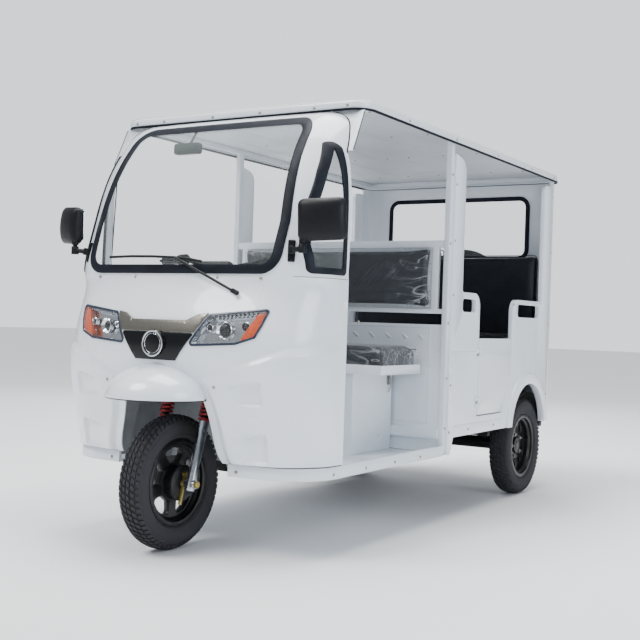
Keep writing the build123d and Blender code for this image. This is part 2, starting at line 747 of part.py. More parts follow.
with BuildPart() as rear_backrest:
    block((-cushion_half - 5, cushion_half + 5), (at(2332), at(2404 - seat_gap)),
          (seat_low + 2, 1272))
    fillet(rear_backrest.edges().filter_by(Axis.Y), 26)
    fillet(rear_backrest.faces().sort_by(Axis.Y)[0].edges(), 16)
finish(rear_backrest, "rear_backrest")

# ---------------------------------------------------------------------------------------------
# Mirrors, wiper, tail lamps and rear bumper
# ---------------------------------------------------------------------------------------------
mirror_foot = (486.0, 34.0, 1120.0)
mirror_post = (556.0, -22.0)
mirror_yaw = 15.0
mirror_width, mirror_depth, mirror_low, mirror_high = 176.0, 46.0, 1158.0, 1300.0
turn = math.radians(mirror_yaw)
mirror_centre = (mirror_post[0] + 84 * math.cos(turn), at(mirror_post[1]) + 84 * math.sin(turn))
mirror_across = (math.cos(turn), math.sin(turn), 0)
mirror_plane = Plane(origin=(*mirror_centre, mirror_low), x_dir=mirror_across, z_dir=(0, 0, 1))

with BuildPart() as side_mirrors:
    with BuildSketch(mirror_plane):
        RectangleRounded(mirror_width, mirror_depth, 12)
    extrude(amount=mirror_high - mirror_low)
    fillet(side_mirrors.faces().sort_by(Axis.Z)[-1].edges(), 10)
    face_back = mirror_plane.offset(10)
    with BuildSketch(face_back):
        with Locations((0, mirror_depth / 2)):
            Rectangle(mirror_width - 20, 6)
    extrude(amount=mirror_high - mirror_low - 20, mode=Mode.SUBTRACT)
    rod((mirror_post[0], at(mirror_post[1]), 1104), (mirror_post[0], at(mirror_post[1]), mirror_low + 20), 9)
    foot = (mirror_foot[0], at(mirror_foot[1] - 8), mirror_foot[2])
    bar(foot, (mirror_post[0], at(mirror_post[1]), 1118), 14, 20)
    with BuildSketch(Plane(origin=foot, x_dir=(0.72, 0.69, 0), z_dir=(0.69, -0.72, 0))):
        RectangleRounded(26, 78, 6)
    extrude(amount=12, both=True)
    add(cowl_block(upper_levels, 0), mode=Mode.SUBTRACT)
    mirror(about=Plane.YZ)
finish(side_mirrors, "side_mirrors")

with BuildPart() as mirror_glasses:
    with BuildSketch(face_back.offset(1)):
        with Locations((0, mirror_depth / 2 - 1.6)):
            Rectangle(mirror_width - 22, 2.6)
    extrude(amount=mirror_high - mirror_low - 22)
    mirror(about=Plane.YZ)
finish(mirror_glasses, "mirror_glasses")

with BuildPart() as interior_mirror:
    with Locations((-255, at(352), 1575)):
        Box(132, 22, 46)
    fillet(interior_mirror.edges().filter_by(Axis.Y), 12)
    rod((-255, at(362), 1590), (-200, at(372), rail_bottom + 2), 5)
    add(cabin_frame.part, mode=Mode.SUBTRACT)
finish(interior_mirror, "interior_mirror")

wiper_pivot = (298.0, 966.0)
wiper_head = (0.0, 1096.0)
blade_points = [
    (-330.0, 1098.0), (-220.0, 1101.0), (-110.0, 1100.0), (0.0, 1096.0), (65.0, 1090.0), (125.0, 1081.0),
]


def on_screen(x, z, proud):
    """A point standing off the front's face."""
    levels = lower_levels if z < cowl_split else upper_levels
    for (z0, y0, f0), (z1, y1, f1) in zip(levels, levels[1:]):
        if z0 <= z <= z1:
            share = (z - z0) / (z1 - z0)
            fall = (f0 + share * (f1 - f0)) * (x / (body_half - cowl_corner)) ** 2
            return (x, at(y0 + share * (y1 - y0) + fall - proud), z)
    raise ValueError("height off the front")


with BuildPart() as wiper:
    pivot = on_screen(*wiper_pivot, 0)
    rod((pivot[0], pivot[1] + 4, pivot[2]), (pivot[0], pivot[1] - 26, pivot[2] + 8), 9)
    rod((pivot[0], pivot[1] - 20, pivot[2] + 6), on_screen(*wiper_head, 24), 5)
    for start, end in zip(blade_points, blade_points[1:]):
        rod(on_screen(*start, 20), on_screen(*end, 20), 5)
    add(lower_face, mode=Mode.SUBTRACT)
finish(wiper, "wiper")

with BuildPart() as tail_lamps:
    with BuildSketch(Plane.XZ.offset(-at(rear_wall_out))):
        with Locations((445, 640)):
            RectangleRounded(95, 190, 14)
    extrude(amount=-16)
    fillet(tail_lamps.faces().sort_by(Axis.Y)[-1].edges(), 6)
    mirror(about=Plane.YZ)
finish(tail_lamps, "tail_lamps")

with BuildPart() as rear_bumper:
    block((-540, 540), (at(2500), at(2548)), (335, cabin_sill))
    fillet(rear_bumper.edges().filter_by(Axis.Z), 12)
finish(rear_bumper, "rear_bumper")

# ---------------------------------------------------------------------------------------------
# Chassis and rear running gear
# ---------------------------------------------------------------------------------------------
rail = (280.0, 320.0)
low_rail = (258.0, floor_bottom)
high_rail = (325.0, cabin_sill)
spring_x = (345.0, 393.0)
spring_half = 268.0
spring_eye = 342.0
axle_radius = 32.0
hub_in = 447.0
stub_radius = 16.0
drum_radius = 108.0


def axis_point(distance, x=0.0, lead=0.0):
    """A point up the steering axis; lead moves it forward across the axis."""
    lean = math.radians(rake)
    y = axis_at_axle + distance * math.sin(lean) - lead * math.cos(lean)
    return (x, at(y), wheel_radius + distance * math.cos(lean) + lead * math.sin(lean))


head_low, head_high = 412.0, 560.0
with BuildPart() as chassis_frame:
    for side in (-1, 1):
        beam = sorted((side * rail[0], side * rail[1]))
        block(beam, (at(325), at(1200)), low_rail)
        block(beam, (at(1176), at(1200)), (low_rail[0], high_rail[1]))
        block(beam, (at(1176), at(2500)), high_rail)
        post = sorted((side * upright_x[0], side * upright_x[1]))
        block(post, (at(upright[0]), at(upright[1])), (low_rail[0] + 2, 770))
        hanger = sorted((side * rail[1], side * spring_x[1]))
        for eye in (wheelbase - spring_half, wheelbase + spring_half):
            block(hanger, (at(eye - 17), at(eye + 17)), (spring_eye + 12, high_rail[1]))
        block(sorted((side * rail[1], side * (side_in - 3))), (at(1182), at(1212)), (345, high_rail[1]))
        block(sorted((side * rail[1], side * (side_in - 3))), (at(1690), at(1720)), (345, high_rail[1]))
    for cross in (325.0, 760.0):
        block((-rail[0], rail[0]), (at(cross), at(cross + 40)), low_rail)
    for cross in (1176.0, 1700.0, 2460.0):
        block((-rail[0], rail[0]), (at(cross), at(cross + 40)), high_rail)
    block((-upright_x[1], upright_x[1]), (at(upright[0]), at(upright[1])), (730, 770))
    block((-26, 26), (at(205), at(upright[0])), (735, 765))
    rod(axis_point(head_low), axis_point(head_high), 30)
    rod(axis_point(head_low - 1), axis_point(head_high + 1), steerer_radius + running_gap, Mode.SUBTRACT)
finish(chassis_frame, "chassis_frame")

with BuildPart() as rear_axle:
    rod((-415, rear_axle_y, wheel_radius), (415, rear_axle_y, wheel_radius), axle_radius)
    rod((-75, rear_axle_y, wheel_radius), (75, rear_axle_y, wheel_radius), 92)
    for side in (-1, 1):
        rod((side * 410, rear_axle_y, wheel_radius), (side * 441, rear_axle_y, wheel_radius), drum_radius)
        rod((side * 441, rear_axle_y, wheel_radius), (side * 520, rear_axle_y, wheel_radius), stub_radius)
    for edge_ring in (92, drum_radius):
        circles = rear_axle.edges().filter_by(GeomType.CIRCLE)
        rims = circles.filter_by(lambda e: abs(e.radius - edge_ring) < 0.1)
        fillet(rims, 6)
finish(rear_axle, "rear_axle")

leaf = 8.0
leaf_shares = [1.0, 0.82, 0.62, 0.42]
leaf_low = wheel_radius + axle_radius + 6
main_leaf = leaf_low + leaf * (len(leaf_shares) - 0.5)
sag = spring_eye - main_leaf
leaf_radius = (spring_half**2 + sag**2) / (2 * sag)


def leaf_point(radius, angle):
    """A point on one of the springs' concentric arcs, by its angle from straight below."""
    return (rear_axle_y + radius * math.sin(angle), main_leaf + leaf_radius - radius * math.cos(angle))


with BuildPart() as leaf_springs:
    with BuildSketch(Plane.YZ.offset(spring_x[0])):
        with BuildLine():
            ends = [math.asin(spring_half * share / leaf_radius) for share in leaf_shares]
            top = leaf_radius - leaf / 2
            ThreePointArc(leaf_point(top, -ends[0]), leaf_point(top, 0), leaf_point(top, ends[0]))
            for side in (-1, 1):
                for row, end in enumerate(ends):
                    under = top + leaf * (row + 1)
                    Line(leaf_point(under - leaf, side * end), leaf_point(under, side * end))
                    if row + 1 < len(ends):
                        inner = ends[row + 1]
                        half_way = side * (end + inner) / 2
                        ThreePointArc(leaf_point(under, side * end), leaf_point(under, half_way),
                                      leaf_point(under, side * inner))
            ThreePointArc(leaf_point(under, -ends[-1]), leaf_point(under, 0), leaf_point(under, ends[-1]))
        make_face()
    extrude(amount=spring_x[1] - spring_x[0])
    for eye in (rear_axle_y - spring_half, rear_axle_y + spring_half):
        rod((spring_x[0], eye, spring_eye), (spring_x[1], eye, spring_eye), 12)
    block((spring_x[0] - 4, spring_x[1] + 4), (rear_axle_y - 40, rear_axle_y + 40),
          (leaf_low - 10, leaf_low + 1))
    mirror(about=Plane.YZ)
    add(rear_axle.part, mode=Mode.SUBTRACT)
finish(leaf_springs, "leaf_springs")

motor_rear = wheelbase - 92
with BuildPart() as drive_motor:
    rod((0, at(motor_rear - 235), wheel_radius), (0, at(motor_rear + 8), wheel_radius), 84)
    fillet(drive_motor.edges().filter_by(GeomType.CIRCLE), 8)
    add(rear_axle.part, mode=Mode.SUBTRACT)
finish(drive_motor, "drive_motor")

with BuildPart() as battery_pack:
    block((-285, 285), (at(pedestal_front + 12), at(tray_rear - 12)), (floor_top, 560))
finish(battery_pack, "battery_pack")

# ---------------------------------------------------------------------------------------------
# Steering
# ---------------------------------------------------------------------------------------------
slider_radius = 19.0
slider_top = 242.0
crown_low, crown_high = 372.0, 404.0
spring_radius = 27.0
front_hub_half = 46.0
steerer_top = 825.0
bar_at = 850.0
front_axle_radius = 7.5
fork_lead = axis_at_axle * math.cos(math.radians(rake))
leg_shift = axis_at_axle * math.sin(math.radians(rake))


def leg_point(distance, x):
    """A point up a fork leg, whose line runs through the front axle."""
    lean = math.radians(rake)
    return (x, at(distance * math.sin(lean)), wheel_radius + distance * math.cos(lean))


with BuildPart() as steering_fork:
    for side in (-1, 1):
        rod(leg_point(slider_top, side * fork_half), leg_point(crown_high, side * fork_half), 13)
    up_the_legs = Vector(*leg_point(1, 0)) - Vector(*leg_point(0, 0))
    crown_plane = Plane(origin=leg_point(crown_low, 0), x_dir=(1, 0, 0), z_dir=up_the_legs)
    with BuildSketch(crown_plane):
        with BuildLine():
            Polyline((-fork_half - 22, -22), (fork_half + 22, -22),
                     (fork_half + 22, 20), (40, fork_lead + 28),
                     (-40, fork_lead + 28), (-fork_half - 22, 20), close=True)
        make_face()
    extrude(amount=crown_high - crown_low)
    rod(axis_point(crown_low - leg_shift), axis_point(steerer_top), steerer_radius)
finish(steering_fork, "steering_fork")

with BuildPart() as fork_sliders:
    for side in (-1, 1):
        rod(leg_point(-26, side * fork_half), leg_point(slider_top, side * fork_half), slider_radius)
        rod((side * (fork_half - 22), front_axle_y, wheel_radius),
            (side * (fork_half + 24), front_axle_y, wheel_radius), 17)
    rod((-fork_half - 30, front_axle_y, wheel_radius), (fork_half + 30, front_axle_y, wheel_radius),
        front_axle_radius, Mode.SUBTRACT)
finish(fork_sliders, "fork_sliders")

with BuildPart() as fork_springs:
    for side in (-1, 1):
        leg = side * fork_half
        rod(leg_point(slider_top + 0.2, leg), leg_point(crown_low - 0.2, leg), spring_radius)
        rod(leg_point(slider_top - 1, leg), leg_point(crown_low + 1, leg), 14, Mode.SUBTRACT)
finish(fork_springs, "fork_springs")

with BuildPart() as front_axle:
    rod((-fork_half - 34, front_axle_y, wheel_radius),
        (fork_half + 34, front_axle_y, wheel_radius), front_axle_radius)
    rod((fork_half + 24, front_axle_y, wheel_radius), (fork_half + 34, front_axle_y, wheel_radius), 13)
    rod((-fork_half - 34, front_axle_y, wheel_radius), (-fork_half - 24, front_axle_y, wheel_radius), 13)
    rod((front_hub_half + 5, front_axle_y, wheel_radius),
        (front_hub_half + 12, front_axle_y, wheel_radius), 68)
    rod((front_hub_half + 12, front_axle_y, wheel_radius), (fork_half - 22.3, front_axle_y, wheel_radius), 14)
    lever_top = (front_hub_half + 18, front_axle_y + 4, wheel_radius + 34)
    rod((front_hub_half + 11, lever_top[1], lever_top[2]),
        (front_hub_half + 22, lever_top[1], lever_top[2]), 8)
    bar(lever_top, (front_hub_half + 18, front_axle_y - 22, wheel_radius - 78), 14, 5)
finish(front_axle, "front_axle")

# the bar's centre line: distance out, back and up from the steering axis, then the grip's end
bar_bends = [(0.0, 0.0, 0.0), (120.0, 0.0, 22.0), (195.0, 6.0, 44.0), (352.0, 46.0, 39.0)]
stem = axis_point(bar_at)
with BuildPart() as handlebar:
    bends = [(x, stem[1] + y, stem[2] + z) for x, y, z in bar_bends]
    rod(axis_point(steerer_top + 0.2), axis_point(bar_at + 16), 23)
    for start, end in zip(bends, bends[1:]):
        rod(start, end, 11)
    with Locations(*bends[1:3]):
        Sphere(11)
    reach = Vector(*bends[3]) - Vector(*bends[2])
    for near, far, radius in ((0.06, 0.30, 22), (0.34, 1.0, 16.5)):
        rod(tuple(Vector(*bends[2]) + reach * near), tuple(Vector(*bends[2]) + reach * far), radius)
    lever_in = Vector(*bends[2]) + reach * 0.12 + Vector(0, -26, -2)
    rod(tuple(lever_in), tuple(lever_in + reach * 0.82 + Vector(0, -8, 0)), 5)
    rod(tuple(lever_in), tuple(lever_in + Vector(0, 20, 2)), 7)
    mirror(about=Plane.YZ)
finish(handlebar, "handlebar")

with BuildPart() as instrument_pod:
    pod_plane = Plane(origin=(0, stem[1] - 52, stem[2] - 8), x_dir=(1, 0, 0), z_dir=(0, 0.5, 0.866))
    with BuildSketch(pod_plane):
        RectangleRounded(160, 70, 18)
    extrude(amount=28)
    fillet(instrument_pod.faces().sort_by(Axis.Z)[-1].edges(), 6)
    bar((0, stem[1] - 46, stem[2] - 2), (0, stem[1] - 4, stem[2] + 2), 60, 16)
    add(handlebar.part, mode=Mode.SUBTRACT)
    add(steering_fork.part, mode=Mode.SUBTRACT)
finish(instrument_pod, "instrument_pod")

# ---------------------------------------------------------------------------------------------
# Wheels: cast five-spoke front, pressed steel rear and spare
# ---------------------------------------------------------------------------------------------
spokes = 5
spoke_thickness = 26.0
bead_gap = 0.3
spare_gap = 36.0
spare_y = at(rear_wall_out + spare_gap + rear_tyre_width / 2)
spare_height = 1070.0


def tyre_profile(width):
    """Section of a tyre standing on its rim, radius against width."""
    half = width / 2
    shoulder = wheel_radius - 0.13 * width
    bead = 0.72 * half - bead_gap
    bead_top = rim_flange_radius + 1
    with BuildSketch(Plane.XY) as section:
        with BuildLine():
            Polyline((6 - half, bead_top + 4), (-bead, bead_top), (-bead, rim_seat_radius),
                     (bead, rim_seat_radius), (bead, bead_top), (half - 6, bead_top + 4))
            ThreePointArc((half - 6, bead_top + 4), (half, (rim_seat_radius + shoulder) / 2 + 8),
                          (half - 5, shoulder))
            ThreePointArc((half - 5, shoulder), (0, wheel_radius), (5 - half, shoulder))
            ThreePointArc((5 - half, shoulder), (-half, (rim_seat_radius + shoulder) / 2 + 8),
                          (6 - half, bead_top + 4))
        make_face()
    return section.sketch


def rim_profile(width, hub, bore, hub_half):
    """Section of a rim's barrel and its hub, radius against width."""
    half = 0.72 * width / 2
    with BuildSketch(Plane.XY) as section:
        with BuildLine():
            Polyline(
                (-half - 4, rim_flange_radius), (-half, rim_flange_radius), (-half, rim_seat_radius - 0.3),
                (-half + 12, rim_seat_radius - 2), (-half + 20, rim_seat_radius - 12),
                (half - 20, rim_seat_radius - 12), (half - 12, rim_seat_radius - 2),
                (half, rim_seat_radius - 0.3), (half, rim_flange_radius), (half + 4, rim_flange_radius),
                (half + 4, rim_seat_radius - 6), (half - 8, rim_seat_radius - 8),
                (half - 17, rim_seat_radius - 18), (17 - half, rim_seat_radius - 18),
                (8 - half, rim_seat_radius - 8), (-half - 4, rim_seat_radius - 6), close=True,
            )
        make_face()
        with BuildLine():
            Polyline((hub_half[0], bore), (hub_half[1], bore),
                     (hub_half[1], hub), (hub_half[0], hub), close=True)
        make_face()
    return section.sketch


def wheel_plane(x, y, z, outward):
    """Plane whose x runs along the axle outwards and whose y is a radius."""
    return Plane(origin=(x, y, z), x_dir=outward, z_dir=Vector(*outward).cross(Vector(0, 0, 1)))


wheel_out = rear_track / 2
disc = 8.0

# name, centre, direction pointing out of the wheel's face, width
tyre_rows = [
    ("front_tyre", (0.0, front_axle_y, wheel_radius), (1, 0, 0), front_tyre_width),
    ("rear_tyre_left", (wheel_out, rear_axle_y, wheel_radius), (1, 0, 0), rear_tyre_width),
    ("rear_tyre_right", (-wheel_out, rear_axle_y, wheel_radius), (-1, 0, 0), rear_tyre_width),
    ("spare_tyre", (0.0, spare_y, spare_height), (0, 1, 0), rear_tyre_width),
]
for tyre_name, centre, outward, width in tyre_rows:
    with BuildPart() as tyre:
        section = wheel_plane(*centre, outward) * tyre_profile(width)
        revolve(section, axis=Axis(centre, outward))
    finish(tyre, tyre_name)

# name, centre, outward, width, hub radius, bore radius, hub's reach either side
rim_rows = [
    ("front_rim", (0.0, front_axle_y, wheel_radius), (1, 0, 0), front_tyre_width,
     62.0, front_axle_radius + running_gap, (-front_hub_half, front_hub_half)),
    ("rear_rim_left", (wheel_out, rear_axle_y, wheel_radius), (1, 0, 0), rear_tyre_width,
     42.0, stub_radius + running_gap, (hub_in - wheel_out, 12.0)),
    ("rear_rim_right", (-wheel_out, rear_axle_y, wheel_radius), (-1, 0, 0), rear_tyre_width,
     42.0, stub_radius + running_gap, (hub_in - wheel_out, 12.0)),
    ("spare_rim", (0.0, spare_y, spare_height), (0, 1, 0), rear_tyre_width,
     42.0, stub_radius + running_gap, (-disc, 12.0)),
]
for rim_name, centre, outward, width, hub, bore, hub_half in rim_rows:
    with BuildPart() as rim:
        frame = wheel_plane(*centre, outward)
        revolve(frame * rim_profile(width, hub, bore, hub_half), axis=Axis(centre, outward))
        radial = Plane(origin=centre, x_dir=frame.y_dir, z_dir=outward)
        if rim_name == "front_rim":
            window_in, window_out = hub + 14, rim_seat_radius - 26
            spread_in, spread_out = math.radians(19), math.radians(27)
            window = rounded_outline(Plane.XY, [
                (window_in * math.cos(spread_in), -window_in * math.sin(spread_in), 9),
                (window_out * math.cos(spread_out), -window_out * math.sin(spread_out), 14),
                (window_out + 5, 0, 60),
                (window_out * math.cos(spread_out), window_out * math.sin(spread_out), 14),
                (window_in * math.cos(spread_in), window_in * math.sin(spread_in), 9),
            ])
            with BuildSketch(radial.offset(-spoke_thickness / 2)):
                Circle(rim_seat_radius - 15)
                Circle(hub - 10, mode=Mode.SUBTRACT)
                with PolarLocations(0, spokes):
                    add(window, mode=Mode.SUBTRACT)
            extrude(amount=spoke_thickness)
        else:
            with BuildSketch(radial.offset(-disc)):
                Circle(rim_seat_radius - 14)
                Circle(hub - 2, mode=Mode.SUBTRACT)
                with PolarLocations(103, 10):
                    Circle(13, mode=Mode.SUBTRACT)
            extrude(amount=disc)
    finish(rim, rim_name)

with BuildPart() as spare_carrier:
    with BuildSketch(Plane.XZ.offset(-at(rear_wall_out))):
        with Locations((0, spare_height)):
            RectangleRounded(180, 150, 16)
    extrude(amount=-6)
    rod((0, at(rear_wall_out + 4), spare_height), (0, spare_y - disc - 1, spare_height), 46)
    rod((0, at(rear_wall_out + 4), spare_height), (0, spare_y + 30, spare_height), stub_radius)
    rod((0, spare_y + 13, spare_height), (0, spare_y + 22, spare_height), 34)
finish(spare_carrier, "spare_carrier")
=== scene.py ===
"""Auto rickshaw: finishes, tyres, cushions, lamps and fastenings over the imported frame.

Everything is in metres in the row's frame: +X is the vehicle's left, -Y its front, +Z up, with the
origin on the ground under the middle of the overall box. `behind()` turns a distance behind the
front axle into Y, and `spot()` a place measured that way in millimetres into a point.
"""

from __future__ import annotations

import json
import logging
import math
from dataclasses import dataclass, field
from enum import Enum
from typing import Callable, Iterable, Sequence

import bmesh
import bpy
from mathutils import Matrix, Vector, noise
from mathutils.bvhtree import BVHTree

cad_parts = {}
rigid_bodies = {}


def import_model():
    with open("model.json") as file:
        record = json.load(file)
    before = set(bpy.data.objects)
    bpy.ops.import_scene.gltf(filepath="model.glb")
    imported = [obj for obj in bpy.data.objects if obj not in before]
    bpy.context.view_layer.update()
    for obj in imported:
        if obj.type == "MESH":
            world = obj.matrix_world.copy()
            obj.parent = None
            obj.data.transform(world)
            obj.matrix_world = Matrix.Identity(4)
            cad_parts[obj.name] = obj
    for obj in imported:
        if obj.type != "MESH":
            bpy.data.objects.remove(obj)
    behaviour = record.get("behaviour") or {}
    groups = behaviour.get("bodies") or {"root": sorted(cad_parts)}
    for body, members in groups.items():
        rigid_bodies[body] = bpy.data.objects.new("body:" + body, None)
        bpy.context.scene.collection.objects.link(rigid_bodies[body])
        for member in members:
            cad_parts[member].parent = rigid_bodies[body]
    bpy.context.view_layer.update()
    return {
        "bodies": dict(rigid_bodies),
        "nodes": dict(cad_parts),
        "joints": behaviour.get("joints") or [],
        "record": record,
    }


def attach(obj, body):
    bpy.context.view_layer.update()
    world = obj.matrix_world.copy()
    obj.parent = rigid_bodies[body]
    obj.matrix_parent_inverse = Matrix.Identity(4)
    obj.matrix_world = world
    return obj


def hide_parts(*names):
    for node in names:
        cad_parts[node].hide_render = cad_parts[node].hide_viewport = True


log = logging.getLogger("rickshaw")

MM = 0.001
FRONT_AXLE_Y = -1.2
WHEELBASE = 2.215
WHEEL_RADIUS = 0.2535
TRACK_HALF = 0.513
SPARE_STATION_MM = 2628.0
SPARE_HEIGHT = 1.07
RAKE = math.radians(17.0)

Pair = tuple[float, float]
Point = tuple[float, float, float]
Quad = tuple[float, float, float, float]
Faces = list[tuple[int, ...]]
Form = tuple[Sequence[Sequence[float]], Sequence[Sequence[int]]]
NodeTree, Socket, Object = bpy.types.NodeTree, bpy.types.NodeSocket, bpy.types.Object


def behind(distance_mm: float) -> float:
    """Y in metres of a point a distance behind the front axle, in millimetres."""
    return FRONT_AXLE_Y + distance_mm * MM


def spot(x_mm: float, behind_mm: float, z_mm: float) -> Vector:
    """Point in metres, from millimetres out from the middle, behind the front axle and up."""
    return Vector((x_mm * MM, behind(behind_mm), z_mm * MM))


def linear(hex_colour: str, alpha: float = 1.0) -> Quad:
    """Turn an sRGB hex colour into linear RGBA.

    Args:
        hex_colour: "#RRGGBB".
        alpha: opacity to carry along.

    Returns:
        Linear red, green, blue and alpha.
    """
    parts = [int(hex_colour[i : i + 2], 16) / 255 for i in (1, 3, 5)]
    lin = [c / 12.92 if c <= 0.04045 else ((c + 0.055) / 1.055) ** 2.4 for c in parts]
    return (lin[0], lin[1], lin[2], alpha)


def add_node(tree: NodeTree, kind: str, settings: dict | None = None, **links) -> bpy.types.Node:
    """Add one node with its settings and links.

    Args:
        tree: the node tree to add to.
        kind: the node's bl_idname.
        settings: attribute names to values.
        **links: input names, with spaces as underscores, to a socket or a plain value.

    Returns:
        The new node.
    """
    node = tree.nodes.new(kind)
    for key, value in (settings or {}).items():
        setattr(node, key, value)
    for key, value in links.items():
        name = key.replace("_", " ")
        socket = node.inputs[int(name[5:])] if name.startswith("index") else node.inputs[name]
        if isinstance(value, Socket):
            tree.links.new(value, socket)
        else:
            socket.default_value = value
    return node


def clouds(tree: NodeTree, place: Socket, size_mm: float, **more) -> Socket:
    """Noise with patches of a size in millimetres, with more inputs of the texture by name.

    Args:
        tree: the node tree to add to.
        place: coordinates in metres.
        size_mm: size of the patches.
        **more: other inputs of the noise texture.

    Returns:
        A socket with the noise.
    """
    return add_node(tree, "ShaderNodeTexNoise", Vector=place, Scale=1 / (size_mm * MM), **more).outputs[0]


def stretch(tree: NodeTree, value: Socket, **ends: float) -> Socket:
    """Map a value between ends given as From_Min, From_Max, To_Min and To_Max.

    Args:
        tree: the node tree to add to.
        value: the value to map.
        **ends: the ends it is mapped between.

    Returns:
        A socket with the mapped value.
    """
    return add_node(tree, "ShaderNodeMapRange", Value=value, **ends).outputs[0]


def combine(tree: NodeTree, operation: str, *values, clamp: bool = False) -> Socket:
    """Join sockets or plain values by a maths operation.

    Args:
        tree: the node tree to add to.
        operation: name of the operation.
        *values: sockets or plain values, in order.
        clamp: keep the result between 0 and 1.

    Returns:
        A socket with the result.
    """
    links = {f"index{number}": value for number, value in enumerate(values)}
    return add_node(tree, "ShaderNodeMath", {"operation": operation, "use_clamp": clamp}, **links).outputs[0]


# ---- Finishes ----


class Surface(Enum):
    """How a surface was made, which sets the pattern in its relief."""

    SMOOTH = "smooth"
    SPRAYED = "sprayed"
    MOULDED_GRAIN = "moulded grain"
    CAST = "cast"
    BRUSHED = "brushed"
    VINYL = "embossed vinyl"
    FILM = "wrinkled film"
    LENS_FLUTES = "fluted lens"
    ROAD_RUBBER = "moulded rubber"


